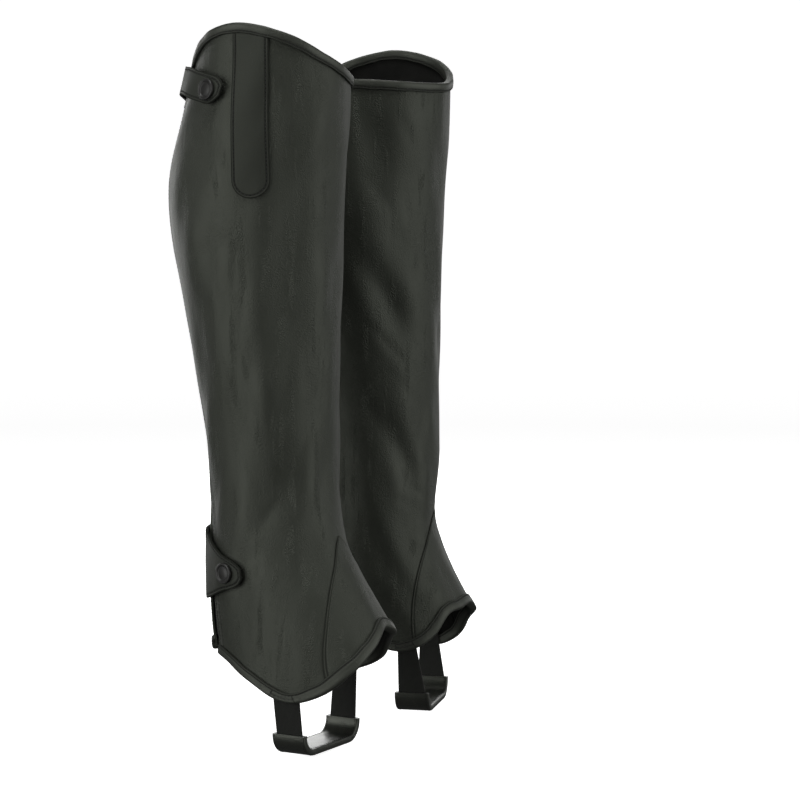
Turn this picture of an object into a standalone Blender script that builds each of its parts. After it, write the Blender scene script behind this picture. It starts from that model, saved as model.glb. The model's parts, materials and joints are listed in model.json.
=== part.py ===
"""A pair of long leather half chaps, held open as they are when worn.

Each chap is made in the frame of its own leg: the leg's line is vertical, heights are measured from the
ground that the wearer stands on, "out" is away from the other leg, and "forward" is the way the toes point.
A place on a chap is given in degrees round the leg, from the back through the outside to the front, and in
height. The origin is on the right leg's line, level with the widest part of the calf.
"""

import math
from collections import namedtuple

import bmesh
import bpy
from mathutils import Vector

MM = 0.001

# Degrees round a leg, from the middle of its back.
OUTSIDE = 90
FRONT = 180
FULL_TURN = 360

# Where the two legs stand. The wearer faces -Y, so the right leg's outside is towards -X.
GRIP_HEIGHT = 405 * MM
LEG_SPACING = 158 * MM
LEFT_LEG_AHEAD = 21 * MM
LEFT_CHAP_HIGHER = 3 * MM
TOE_OUT = math.radians(8.5)

# Leather and the gaps that part one piece from the next.
PANEL_WALL = 2.0 * MM
SEAM_GAP = 0.4 * MM
LAID_GAP = 0.35 * MM
GUSSET_WALL = 2.4 * MM
GUSSET_PROUD = 0.6 * MM
PATCH_WALL = 1.2 * MM
TAB_WALL = 2.0 * MM

# Strips folded over the top edge and the hem. "Stand" is the gap between a strip's outer leaf and the panel.
BINDING_DEPTH = 5.8 * MM
BINDING_WALL = 1.3 * MM
BINDING_GAP = 0.45 * MM
TOP_BINDING_STAND = 0.7 * MM
HEM_BINDING_STAND = 1.0 * MM
FOLD_ROUNDING = 1.0 * MM

# Zip: it runs down the back, a little to the outside, and turns further outwards at the ankle.
ZIP_OPENING = 12 * MM
ZIP_AROUND_CALF = 20
ZIP_AROUND_ANKLE = 41
ZIP_TURNS_FROM = 250 * MM
ZIP_TURNS_TO = 105 * MM
ZIP_END_CLEAR = 10 * MM
TAPE_WALL = 0.8 * MM
TAPE_GAP = 0.6 * MM
TAPE_UNDER_PANEL = 7 * MM
CHAIN_WIDTH = 5 * MM
CHAIN_WALL = 1.8 * MM
CHAIN_TOP_CLEAR = 14 * MM
SLIDER_LENGTH = 13 * MM
SLIDER_WIDTH = 8.6 * MM
SLIDER_PLATE = 1.2 * MM
SLIDER_POST = 3.4 * MM
SLIDER_HEAD_BELOW_RIM = 6 * MM
PULL_LENGTH = 20 * MM
PULL_WIDTH = 4.6 * MM
PULL_WALL = 1.0 * MM
PULL_HEAD_CLEAR = 3 * MM

# Instep gusset: a pointed arch at the front. The body panel is notched to take it.
NOTCH_PEAK = 165 * MM
NOTCH_OUTER_ANGLE = 60
NOTCH_INNER_ANGLE = 77
NOTCH_POWER = 0.9
GUSSET_TIP_GAP = 1.6 * MM

# The left instep pushes its chap forward less than the right one does, so the hem hangs lower at its front.
LEFT_INSTEP_BACK = 25 * MM
INSTEP_BACK_FROM = 215 * MM
INSTEP_BACK_TO = 90 * MM
LEFT_HEM_LOWER = 10 * MM
HEM_LOWER_FROM = 50

# Patch with a round end, hanging from the top binding on the outside.
PATCH_FORWARD = 14.3 * MM
PATCH_WIDTH = 26.5 * MM
PATCH_LENGTH = 118 * MM

# Elastic strap that passes under the foot, with its leather guard.
STRAP_FORWARD = 37.5 * MM
STRAP_WIDTH = 22 * MM
STRAP_WALL = 1.6 * MM
STRAP_TUCK = 14 * MM
STRAP_HALF_FOOT = 38 * MM
STRAP_LOW = 7 * MM
STRAP_CORNER = 13 * MM
GUARD_WALL = 1.3 * MM
GUARD_WIDTH = 28 * MM
GUARD_TOP = 21 * MM

CAP_RADIUS = 7.7 * MM
STUD_RADIUS = 4.6 * MM

# How finely each form is divided.
PANEL_COLUMNS = 16
LOWER_ROWS = 6
UPPER_ROWS = 13
GUSSET_COLUMNS = 12
LEAST_ROW = 4 * MM
PATCH_ROWS = 7
PATCH_COLUMNS = 4
ROUND_END_ANGLES = (0, 24, 46, 66, 81)
ROUND_SIDES = 20
CORNER_STEPS = 4
STRAP_COLUMNS = 2

# Millimetres. "centre" is how far forward of the leg's line the section is widest; "back" and "front" are
# how far it reaches behind and ahead of that, and "side" is its half width.
Section = namedtuple("Section", "height centre back front side")
SECTIONS = (
    Section(30, 32, 79, 104, 48),
    Section(75, 24, 71, 85, 47.5),
    Section(98, 18, 67, 78, 47),
    Section(116, 12.5, 62.5, 71.5, 46.5),
    Section(137, 7, 56.5, 63.5, 45.5),
    Section(160, 4, 52.6, 54.2, 44.5),
    Section(200, 1, 50.8, 50.4, 44),
    Section(245, -1.5, 52.6, 52, 46),
    Section(290, -4.5, 56.3, 55.8, 49.5),
    Section(335, -8.5, 61.2, 60.8, 53),
    Section(380, -12.5, 68, 66, 56),
    Section(425, -12.5, 70.5, 67.8, 57.5),
    Section(470, -6.5, 66, 65.2, 56.5),
    Section(510, -1.5, 58.6, 62, 54),
    Section(550, 1, 54, 61.5, 52.5),
)

# Height in millimetres of the cut edges, by degrees round the leg. Both hang lower on the inside at the front.
EdgePoint = namedtuple("EdgePoint", "around height")
RIM_LINE = (
    EdgePoint(0, 511),
    EdgePoint(25, 513),
    EdgePoint(50, 528.5),
    EdgePoint(75, 536.5),
    EdgePoint(98, 538.5),
    EdgePoint(130, 530),
    EdgePoint(160, 516.5),
    EdgePoint(190, 506.5),
    EdgePoint(225, 504.5),
    EdgePoint(270, 506.5),
    EdgePoint(320, 510),
    EdgePoint(360, 511),
)
HEM_LINE = (
    EdgePoint(0, 80),
    EdgePoint(30, 79),
    EdgePoint(52, 75),
    EdgePoint(75, 61.5),
    EdgePoint(97, 48),
    EdgePoint(115, 55),
    EdgePoint(135, 71),
    EdgePoint(158, 87),
    EdgePoint(180, 100),
    EdgePoint(202, 94),
    EdgePoint(221, 86),
    EdgePoint(240, 70),
    EdgePoint(257, 60),
    EdgePoint(270, 57),
    EdgePoint(285, 62),
    EdgePoint(308, 74),
    EdgePoint(330, 79),
    EdgePoint(360, 80),
)

# Soft folds of the leather. "around" is where the fold crosses "middle"; "lean" is how many degrees further
# round it lies at its top than at its foot. Depth is into the wall, so a negative one is a ridge.
Fold = namedtuple("Fold", "around lean middle length width depth")
RIGHT_FOLDS = (
    Fold(137, -6, 375, 300, 15, 2.6),
    Fold(115, 4, 330, 190, 13, -1.2),
    Fold(101, 2, 330, 150, 11, 1.2),
    Fold(158, 8, 470, 110, 14, -1.2),
    Fold(128, 30, 205, 90, 16, 1.5),
    Fold(232, 10, 360, 210, 15, 2.2),
    Fold(285, -14, 300, 170, 14, 1.8),
    Fold(330, 8, 240, 120, 13, 1.5),
)
LEFT_FOLDS = (
    Fold(250, 34, 450, 120, 13, 2.0),
    Fold(238, 46, 330, 110, 14, 2.4),
    Fold(262, -26, 375, 110, 15, -1.8),
    Fold(236, 40, 215, 90, 13, 2.0),
    Fold(300, 10, 300, 210, 15, 1.8),
    Fold(120, -8, 390, 230, 15, 2.2),
    Fold(75, 12, 290, 170, 14, 1.8),
    Fold(150, 18, 230, 110, 14, 1.5),
)

# The two tabs across the zip, in millimetres: a row for each cross-section, from the inner side of the zip
# to the free end. "along" is measured from the zip's centre and "lift" from the panel to the tab's inside.
TabSection = namedtuple("TabSection", "along low high lift")
TOP_TAB = (
    TabSection(-25, 484.5, 504.6, 0.5),
    TabSection(-14, 486, 505, 1.9),
    TabSection(-4, 489.5, 508.5, 3.4),
    TabSection(8, 491.4, 512, 4.3),
    TabSection(20, 490.6, 511.3, 3.9),
    TabSection(31, 488.8, 509.6, 3.1),
    TabSection(41, 486.4, 507.2, 2.6),
    TabSection(51, 484.2, 505, 2.5),
    TabSection(62, 482, 502, 2.8),
    TabSection(66, 484, 499.5, 3),
    TabSection(69.5, 487.5, 495.5, 3.2),
)
TOP_SNAP = TabSection(58, 492.4, 492.4, 2.7)
BOTTOM_TAB = (
    TabSection(-26, 113, 170, 0.5),
    TabSection(-15, 114, 169, 1.0),
    TabSection(-5, 115.5, 167, 1.7),
    TabSection(6, 118, 162, 1.9),
    TabSection(16, 121.5, 156, 2.0),
    TabSection(25, 125, 151.5, 2.1),
    TabSection(33, 127.5, 148.5, 2.2),
    TabSection(38.5, 130.5, 145.5, 2.4),
    TabSection(42, 134.5, 141.5, 2.6),
)
BOTTOM_SNAP = TabSection(28.5, 138, 138, 2.15)
TAB_COLUMNS = 4

# Outlines of the turned pieces, as radius against height above the base, as shares of the piece's own size.
TurnPoint = namedtuple("TurnPoint", "radius height")
CAP_OUTLINE = (
    TurnPoint(0.0, 0.0),
    TurnPoint(0.86, 0.0),
    TurnPoint(1.0, 0.35),
    TurnPoint(0.97, 0.8),
    TurnPoint(0.84, 1.0),
    TurnPoint(0.74, 0.9),
    TurnPoint(0.68, 0.55),
    TurnPoint(0.0, 0.5),
)
CAP_HEIGHT = 2.3 * MM
STUD_OUTLINE = (
    TurnPoint(0.0, 0.0),
    TurnPoint(1.0, 0.0),
    TurnPoint(1.0, 0.4),
    TurnPoint(0.6, 0.5),
    TurnPoint(0.6, 1.0),
    TurnPoint(0.0, 1.0),
)

Look = namedtuple("Look", "name colour roughness metallic")
LEATHER = Look("leather", (0.030, 0.032, 0.028), 0.52, 0.0)
BINDING_LEATHER = Look("binding_leather", (0.036, 0.038, 0.033), 0.46, 0.0)
ZIP_TAPE = Look("zip_tape", (0.014, 0.014, 0.014), 0.85, 0.0)
ZIP_TEETH = Look("zip_teeth", (0.02, 0.02, 0.02), 0.4, 0.0)
ELASTIC = Look("elastic", (0.016, 0.017, 0.016), 0.8, 0.0)
DARK_METAL = Look("dark_metal", (0.03, 0.03, 0.03), 0.35, 0.9)


def clear_scene():
    for obj in list(bpy.data.objects):
        bpy.data.objects.remove(obj)


def material(look):
    made = bpy.data.materials.get(look.name)
    if made is None:
        made = bpy.data.materials.new(look.name)
        made.use_nodes = True
        shader = made.node_tree.nodes["Principled BSDF"]
        shader.inputs["Base Color"].default_value = (*look.colour, 1.0)
        shader.inputs["Roughness"].default_value = look.roughness
        shader.inputs["Metallic"].default_value = look.metallic
    return made


def mix(a, b, share):
    return a + (b - a) * share


def shares(count):
    return [k / count for k in range(count + 1)]


def ease(x):
    """0 below 0, 1 above 1, and a smooth step between."""
    x = min(max(x, 0.0), 1.0)
    return x * x * (3 - 2 * x)


def curve_through(points, x):
    """A smooth curve through (x, y) points, level beyond both ends of the list."""
    xs = [p[0] for p in points]
    ys = [p[1] for p in points]
    if x <= xs[0]:
        return ys[0]
    if x >= xs[-1]:
        return ys[-1]
    k = max(i for i in range(len(xs) - 1) if xs[i] <= x)

    def slope(i):
        low, high = max(i - 1, 0), min(i + 1, len(xs) - 1)
        return (ys[high] - ys[low]) / (xs[high] - xs[low])

    span = xs[k + 1] - xs[k]
    t = (x - xs[k]) / span
    start_share = 2 * t**3 - 3 * t**2 + 1
    from_slopes = (t**3 - 2 * t**2 + t) * slope(k) + (t**3 - t**2) * slope(k + 1)
    return start_share * ys[k] + (1 - start_share) * ys[k + 1] + span * from_slopes


def section_value(name, height):
    return curve_through([(s.height * MM, getattr(s, name) * MM) for s in SECTIONS], height)


def degrees_for(distance, height):
    """Degrees round the leg that a distance along the leather spans, near enough all round the section."""
    return math.degrees(distance * 2 / (section_value("back", height) + section_value("side", height)))


def rim_height(around):
    return curve_through([(p.around, p.height * MM) for p in RIM_LINE], around % FULL_TURN)


def zip_around(height, along=0.0):
    """Degrees round the leg of the zip's line, or of a point this far along the leather from it."""
    turned = ease((ZIP_TURNS_FROM - height) / (ZIP_TURNS_FROM - ZIP_TURNS_TO))
    return mix(ZIP_AROUND_CALF, ZIP_AROUND_ANKLE, turned) + degrees_for(along, height)


def panel_edge(height, side):
    """Degrees round the leg of the panel's edge beside the zip; side is 1 for outside, -1 for inside."""
    edge = zip_around(height, side * ZIP_OPENING / 2)
    return edge if side > 0 else edge + FULL_TURN


def notch_foot(side):
    """Degrees round the leg at which the notch's outer (1) or inner (-1) side meets the hem."""
    return FRONT - (NOTCH_OUTER_ANGLE if side > 0 else -NOTCH_INNER_ANGLE)


def fold_depth(folds, around, height):
    depth = 0.0
    for fold in folds:
        along = (height / MM - fold.middle) / fold.length
        if abs(along) >= 0.5:
            continue
        across = (around - fold.around - fold.lean * along) / fold.width
        depth += fold.depth * MM * math.exp(-across * across) * math.cos(math.pi * along) ** 2
    return depth


class Chap:
    """One chap's form, in the (out, forward, up) frame of its leg."""

    def __init__(self, name, outwards, folds, instep_back, hem_lower, place):
        self.name = name
        self.outwards = outwards
        self.folds = folds
        self.instep_back = instep_back
        self.hem_lower = hem_lower
        self.leg = bpy.data.objects.new(f"{name}_leg", None)
        bpy.context.scene.collection.objects.link(self.leg)
        self.leg.location = place
        self.leg.rotation_euler.z = outwards * TOE_OUT

    def hem_height(self, around):
        line = curve_through([(p.around, p.height * MM) for p in HEM_LINE], around % FULL_TURN)
        return line - self.hem_lower * ease(1 - abs(around % FULL_TURN - FRONT) / HEM_LOWER_FROM)

    def seam(self, side, up, gap=0.0):
        """A spot on the notch's outer (1) or inner (-1) side, up from 0 at the hem to 1 at its peak, moved
        into the notch by a gap along the leather."""
        foot = notch_foot(side)
        height = mix(self.hem_height(foot), NOTCH_PEAK, up)
        opening = math.sin(math.pi / 2 * (1 - up)) ** NOTCH_POWER
        return mix(FRONT, foot, opening) + side * degrees_for(gap, height), height

    def surface(self, around, height):
        """The body panel's outer face at this many degrees round the leg and this height."""
        turn = math.radians(around)
        if math.cos(turn) > 0:
            reach = section_value("back", height)
        else:
            held_back = ease((INSTEP_BACK_FROM - height) / (INSTEP_BACK_FROM - INSTEP_BACK_TO))
            reach = section_value("front", height) - self.instep_back * held_back
        depth = fold_depth(self.folds, around % FULL_TURN, height)
        return Vector(
            (
                (section_value("side", height) - depth) * math.sin(turn),
                section_value("centre", height) - (reach - depth) * math.cos(turn),
                height,
            )
        )

    def point(self, spot):
        """The point at a spot (around, height, out), "out" being its distance from the panel's outer face."""
        around, height, out = spot
        step_round = self.surface(around + 0.5, height) - self.surface(around - 0.5, height)
        step_up = self.surface(around, height + MM) - self.surface(around, height - MM)
        normal = step_round.cross(step_up).normalized()
        return self.placed(self.surface(around, height) + normal * out)

    def placed(self, local):
        """A point of the leg's (out, forward, up) frame, under the leg's empty."""
        return Vector((self.outwards * local.x, -local.y, local.z - GRIP_HEIGHT))

    def around_at(self, forward, height):
        """Degrees round the leg at which the outside of the chap is this far forward."""
        ahead = forward - section_value("centre", height)
        reach = section_value("front" if ahead > 0 else "back", height)
        return OUTSIDE + math.degrees(math.asin(ahead / reach))


def finish(chap, name, bm, look, wall=None):
    """Links a piece under its chap's leg. An open sheet gets its thickness inwards from its outer face."""
    mesh = bpy.data.meshes.new(name)
    bm.to_mesh(mesh)
    bm.free()
    mesh.materials.append(material(look))
    mesh.shade_smooth()
    mesh.set_sharp_from_angle(angle=math.radians(40))
    obj = bpy.data.objects.new(f"{chap.name}_{name}", mesh)
    bpy.context.scene.collection.objects.link(obj)
    obj.parent = chap.leg
    if wall:
        thickness = obj.modifiers.new("thickness", "SOLIDIFY")
        thickness.thickness = wall
        thickness.offset = -1
        thickness.use_even_offset = True


def bridge(bm, lower, upper):
    """Faces between two rows of points; a row of one point is the tip of a fan."""
    for i in range(len(lower) - 1):
        if len(upper) == 1:
            bm.faces.new((lower[i], lower[i + 1], upper[0]))
        else:
            bm.faces.new((lower[i], lower[i + 1], upper[i + 1], upper[i]))


def turn_outwards(bm, chap, spot):
    """Turns an open sheet's faces away from the leg, judged where the sheet was begun."""
    around, height, out = spot
    outwards = chap.point((around, height, out + MM)) - chap.point(spot)
    bm.normal_update()
    bm.faces.ensure_lookup_table()
    if bm.faces[0].normal.dot(outwards) < 0:
        bmesh.ops.reverse_faces(bm, faces=bm.faces)


def sheet(chap, name, rows, look, wall):
    """A piece of leather or cloth through rows of spots on its outer face."""
    bm = bmesh.new()
    grid = [[bm.verts.new(chap.point(spot)) for spot in row] for row in rows]
    for lower, upper in zip(grid, grid[1:]):
        bridge(bm, lower, upper)
    turn_outwards(bm, chap, rows[0][0])
    finish(chap, name, bm, look, wall)


def strip(chap, name, rings, look):
    """A closed piece through rings of points, with flat ends."""
    bm = bmesh.new()
    grid = [[bm.verts.new(point) for point in ring] for ring in rings]
    for lower, upper in zip(grid, grid[1:]):
        bridge(bm, lower + lower[:1], upper + upper[:1])
    bm.faces.new(grid[0])
    bm.faces.new(grid[-1])
    bmesh.ops.recalc_face_normals(bm, faces=bm.faces)
    finish(chap, name, bm, look)


def body_panel(chap):
    """One piece from the zip round the front and back to the zip, its halves joined above the notch."""
    bm = bmesh.new()
    front = {}
    for side in (1, -1):
        grid = []
        for row in range(LOWER_ROWS + UPPER_ROWS + 1):
            line = []
            for column in range(PANEL_COLUMNS + 1):
                on_front = column == PANEL_COLUMNS and row >= LOWER_ROWS
                if on_front and row in front:
                    line.append(front[row])
                    continue
                around, height = panel_spot(chap, side, column / PANEL_COLUMNS, row)
                line.append(bm.verts.new(chap.point((around, height, 0))))
                if on_front:
                    front[row] = line[-1]
            grid.append(line if side > 0 else line[::-1])
        for lower, upper in zip(grid, grid[1:]):
            bridge(bm, lower, upper)
    turn_outwards(bm, chap, (*panel_spot(chap, 1, 0, 0), 0))
    finish(chap, "body_panel", bm, LEATHER, PANEL_WALL)


def panel_spot(chap, side, share, row):
    """Degrees round and height of a point of the panel. Rows run from the hem to the notch's peak, then on
    to the top edge, and share is 0 at the zip and 1 at the notch or the front."""
    if row <= LOWER_ROWS:
        up = row / LOWER_ROWS
        front = chap.seam(side, up)[0]
        zip_foot = panel_edge(chap.hem_height(ZIP_AROUND_ANKLE), side)
        height = mix(chap.hem_height(mix(zip_foot, notch_foot(side), share)), NOTCH_PEAK, up)
        return mix(panel_edge(height, side), front, share), height
    up = (row - LOWER_ROWS) / UPPER_ROWS
    zip_head = panel_edge(rim_height(ZIP_AROUND_CALF), side)
    height = mix(NOTCH_PEAK, rim_height(mix(zip_head, FRONT, share)), up)
    return mix(panel_edge(height, side), FRONT, share), height


def instep_gusset(chap):
    rows = []
    for row in range(LOWER_ROWS):
        up = row / LOWER_ROWS
        outer = chap.seam(1, up, SEAM_GAP)[0]
        inner = chap.seam(-1, up, SEAM_GAP)[0]
        spots = []
        for column in range(GUSSET_COLUMNS + 1):
            share = column / GUSSET_COLUMNS
            foot = mix(notch_foot(1), notch_foot(-1), share)
            height = mix(chap.hem_height(foot), NOTCH_PEAK - GUSSET_TIP_GAP, up)
            spots.append((mix(outer, inner, share), height, GUSSET_PROUD))
        rows.append(spots)
    rows.append([(FRONT, NOTCH_PEAK - GUSSET_TIP_GAP, GUSSET_PROUD)])
    sheet(chap, "instep_gusset", rows, LEATHER, GUSSET_WALL)


def binding(chap, name, edge_line, arounds, inwards, stand):
    """A strip folded over a cut edge, through the places round the leg at which that edge has its points.
    "inwards" is 1 where the leather lies above the edge, and -1 where it lies below."""
    inner_face = -PANEL_WALL - BINDING_GAP
    fold = -BINDING_GAP - BINDING_WALL
    profile = (
        (BINDING_DEPTH, stand + BINDING_WALL),
        (fold + FOLD_ROUNDING, stand + BINDING_WALL),
        (fold, stand + BINDING_WALL - FOLD_ROUNDING),
        (fold, inner_face - BINDING_WALL + FOLD_ROUNDING),
        (fold + FOLD_ROUNDING, inner_face - BINDING_WALL),
        (BINDING_DEPTH, inner_face - BINDING_WALL),
        (BINDING_DEPTH, inner_face),
        (-BINDING_GAP, inner_face),
        (-BINDING_GAP, stand),
        (BINDING_DEPTH, stand),
    )
    rings = []
    for around in arounds:
        rings.append([chap.point(edge_spot(around, edge_line, inwards, *spot)) for spot in profile])
    strip(chap, name, rings, BINDING_LEATHER)


def top_binding(chap):
    zip_head = {side: panel_edge(rim_height(ZIP_AROUND_CALF), side) for side in (1, -1)}
    arounds = [mix(zip_head[1], FRONT, share) for share in shares(PANEL_COLUMNS)]
    arounds += [mix(FRONT, zip_head[-1], share) for share in shares(PANEL_COLUMNS)[1:]]
    binding(chap, "top_binding", rim_height, arounds, -1, TOP_BINDING_STAND)


def hem_binding(chap):
    zip_foot = {side: panel_edge(chap.hem_height(ZIP_AROUND_ANKLE), side) for side in (1, -1)}
    arounds = [mix(zip_foot[1], notch_foot(1), share) for share in shares(PANEL_COLUMNS)]
    arounds += [mix(notch_foot(1), notch_foot(-1), share) for share in shares(GUSSET_COLUMNS)[1:]]
    arounds += [mix(notch_foot(-1), zip_foot[-1], share) for share in shares(PANEL_COLUMNS)[1:]]
    binding(chap, "hem_binding", chap.hem_height, arounds, 1, HEM_BINDING_STAND)


def edge_spot(around, edge_line, inwards, depth, out):
    """The spot that lies this deep inside an edge, square to it along the leather."""
    height = edge_line(around)
    rise = edge_line(around + 1) - edge_line(around - 1)
    run = 2 / degrees_for(1.0, height)
    length = math.hypot(rise, run)
    aside = -inwards * depth * rise / length
    return around + degrees_for(aside, height), height + inwards * depth * run / length, out


def side_patch(chap):
    """Rows run down from the top binding, and then round the patch's end."""
    half = PATCH_WIDTH / 2
    out = LAID_GAP + PATCH_WALL
    middle_top = rim_height(chap.around_at(PATCH_FORWARD, rim_height(OUTSIDE))) - BINDING_DEPTH - LAID_GAP
    round_from = middle_top - PATCH_LENGTH + half
    rows = []
    for row in range(PATCH_ROWS):
        spots = []
        for column in range(PATCH_COLUMNS + 1):
            forward = PATCH_FORWARD + half * (2 * column / PATCH_COLUMNS - 1)
            around = chap.around_at(forward, middle_top)
            top = rim_height(around) - BINDING_DEPTH - 2 * LAID_GAP
            height = mix(top, round_from, row / PATCH_ROWS)
            spots.append((chap.around_at(forward, height), height, out))
        rows.append(spots)
    for angle in ROUND_END_ANGLES:
        height = round_from - half * math.sin(math.radians(angle))
        width = half * math.cos(math.radians(angle))
        spots = []
        for column in range(PATCH_COLUMNS + 1):
            forward = PATCH_FORWARD + width * (2 * column / PATCH_COLUMNS - 1)
            spots.append((chap.around_at(forward, height), height, out))
        rows.append(spots)
    sheet(chap, "side_patch", rows, LEATHER, PATCH_WALL)


def zip_rows(chap, side):
    """Heights at which the zip is cut into rows, from the hem upwards: those of the panel's points beside it."""
    low = chap.hem_height(ZIP_AROUND_ANKLE) + ZIP_END_CLEAR
    high = rim_height(ZIP_AROUND_CALF) - ZIP_END_CLEAR
    beside = [panel_spot(chap, side, 0, row)[1] for row in range(LOWER_ROWS + UPPER_ROWS + 1)]
    return [low] + [height for height in beside if low + LEAST_ROW < height < high - LEAST_ROW] + [high]


def zip_tapes(chap):
    out = -PANEL_WALL - TAPE_GAP
    near = CHAIN_WIDTH / 2 + LAID_GAP
    far = ZIP_OPENING / 2 + TAPE_UNDER_PANEL
    for name, side in (("zip_tape_outer", 1), ("zip_tape_inner", -1)):
        rows = []
        for height in zip_rows(chap, side):
            alongs = (near, ZIP_OPENING / 2, far)
            rows.append([(zip_around(height, side * along), height, out) for along in alongs])
        sheet(chap, name, rows, ZIP_TAPE, TAPE_WALL)


def chain_face():
    """How far out the zip chain's outer face lies: the chain is centred on the tapes."""
    return -PANEL_WALL - TAPE_GAP - TAPE_WALL / 2 + CHAIN_WALL / 2


def zip_chain(chap):
    rows = []
    out = chain_face()
    top = rim_height(ZIP_AROUND_CALF) - CHAIN_TOP_CLEAR
    heights = [height for height in zip_rows(chap, 1) if height < top - LEAST_ROW] + [top]
    for height in heights:
        alongs = (-CHAIN_WIDTH / 2, 0, CHAIN_WIDTH / 2)
        rows.append([(zip_around(height, along), height, out) for along in alongs])
    sheet(chap, "zip_chain", rows, ZIP_TEETH, CHAIN_WALL)


def block(chap, name, outline, half_width, look):
    """A closed piece at the zip: an outline of (height, out) points, carried across the zip's width."""
    rings = []
    for along in (-half_width, half_width):
        rings.append([chap.point((zip_around(height, along), height, out)) for height, out in outline])
    strip(chap, name, rings, look)


def slider_faces():
    """How far out the slider's upper plate has its outer and inner faces."""
    inner = chain_face() + LAID_GAP
    return inner + SLIDER_PLATE, inner


def zip_slider(chap):
    """Two plates over and under the chain's end, joined by a post above it."""
    head = rim_height(ZIP_AROUND_CALF) - SLIDER_HEAD_BELOW_RIM
    tail = head - SLIDER_LENGTH
    post = head - SLIDER_POST
    upper_out, upper_in = slider_faces()
    lower_out = chain_face() - CHAIN_WALL - LAID_GAP
    lower_in = lower_out - SLIDER_PLATE
    outline = (
        (tail, upper_out),
        (head, upper_out),
        (head, lower_in),
        (tail, lower_in),
        (tail, lower_out),
        (post, lower_out),
        (post, upper_in),
        (tail, upper_in),
    )
    block(chap, "zip_slider", outline, SLIDER_WIDTH / 2, DARK_METAL)


def zip_pull(chap):
    """The pull hangs flat on the slider, its head under the top tab."""
    head = rim_height(ZIP_AROUND_CALF) - SLIDER_HEAD_BELOW_RIM - PULL_HEAD_CLEAR
    tail = head - PULL_LENGTH
    low = slider_faces()[0] + LAID_GAP
    high = low + PULL_WALL
    outline = ((tail, low), (tail, high), (head, high), (head, low))
    block(chap, "zip_pull", outline, PULL_WIDTH / 2, DARK_METAL)


def tab(chap, name, sections):
    """A tab sewn down inside of the zip and snapped shut outside of it."""
    rows = []
    for part in sections:
        line = []
        for column in range(TAB_COLUMNS + 1):
            height = mix(part.low, part.high, column / TAB_COLUMNS) * MM
            line.append((zip_around(height, part.along * MM), height, part.lift * MM + TAB_WALL))
        rows.append(line)
    sheet(chap, name, rows, LEATHER, TAB_WALL)


def turned(chap, name, centre, base, height, radius, outline, look):
    """A turned piece, its axis square to the leather at the snap's centre."""
    bm = bmesh.new()
    middle = centre.low * MM
    rings = []
    for part in outline:
        out = base + part.height * height
        if part.radius == 0:
            rings.append([bm.verts.new(chap.point((zip_around(middle, centre.along * MM), middle, out)))])
            continue
        ring = []
        for k in range(ROUND_SIDES):
            angle = 2 * math.pi * k / ROUND_SIDES
            up = middle + part.radius * radius * math.sin(angle)
            along = centre.along * MM + part.radius * radius * math.cos(angle)
            ring.append(bm.verts.new(chap.point((zip_around(middle, along), up, out))))
        rings.append(ring)
    for k, (lower, upper) in enumerate(zip(rings, rings[1:])):
        if k == 0:
            lower, upper = upper, lower
        bridge(bm, lower + lower[:1], upper if len(upper) == 1 else upper + upper[:1])
    bmesh.ops.recalc_face_normals(bm, faces=bm.faces)
    finish(chap, name, bm, look)


def snap(chap, name, centre):
    """A cap on the tab and, under the tab, the stud that it closes on."""
    lift = centre.lift * MM
    turned(chap, f"{name}_stud", centre, LAID_GAP, lift - 2 * LAID_GAP, STUD_RADIUS, STUD_OUTLINE, DARK_METAL)
    base = lift + TAB_WALL + LAID_GAP
    turned(chap, f"{name}_cap", centre, base, CAP_HEIGHT, CAP_RADIUS, CAP_OUTLINE, DARK_METAL)


def foot_path(top, gap):
    """Points (sideways, up) of the strap's middle line under the foot, from the outside to the inside, moved
    outwards by a gap."""
    path = [(STRAP_HALF_FOOT + gap, top)]
    for share in shares(CORNER_STEPS):
        turn = math.pi / 2 * share
        reach = STRAP_CORNER + gap
        sideways = STRAP_HALF_FOOT - STRAP_CORNER + reach * math.cos(turn)
        path.append((sideways, STRAP_LOW + STRAP_CORNER - reach * math.sin(turn)))
    return path + [(-sideways, up) for sideways, up in reversed(path)]


def across_strap(chap, sideways, up, width):
    """Points across the strap, from its back edge to its front one."""
    forwards = [STRAP_FORWARD + width * (share - 0.5) for share in shares(STRAP_COLUMNS)]
    return [chap.placed(Vector((sideways, forward, up))) for forward in forwards]


def foot_strap(chap):
    """The ends are tucked in behind the hem binding, and the middle passes under the foot."""
    behind = -PANEL_WALL - BINDING_GAP - BINDING_WALL - LAID_GAP
    ends = {}
    for side in (1, -1):
        seam = chap.hem_height(FRONT - side * OUTSIDE)
        ends[side] = []
        for height in (seam + STRAP_TUCK, seam + BINDING_DEPTH, seam):
            row = []
            for share in shares(STRAP_COLUMNS):
                around = chap.around_at(STRAP_FORWARD + STRAP_WIDTH * (share - 0.5), height)
                row.append(chap.point((around if side > 0 else FULL_TURN - around, height, behind)))
            ends[side].append(row)
    middle = [across_strap(chap, *place, STRAP_WIDTH) for place in foot_path(GUARD_TOP, STRAP_WALL / 2)]
    bm = bmesh.new()
    grid = [[bm.verts.new(point) for point in row] for row in ends[1] + middle + ends[-1][::-1]]
    for lower, upper in zip(grid, grid[1:]):
        bridge(bm, lower, upper)
    bm.normal_update()
    bm.faces.ensure_lookup_table()
    if bm.faces[0].normal.x * chap.outwards < 0:
        bmesh.ops.reverse_faces(bm, faces=bm.faces)
    finish(chap, "foot_strap", bm, ELASTIC, STRAP_WALL)


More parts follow.
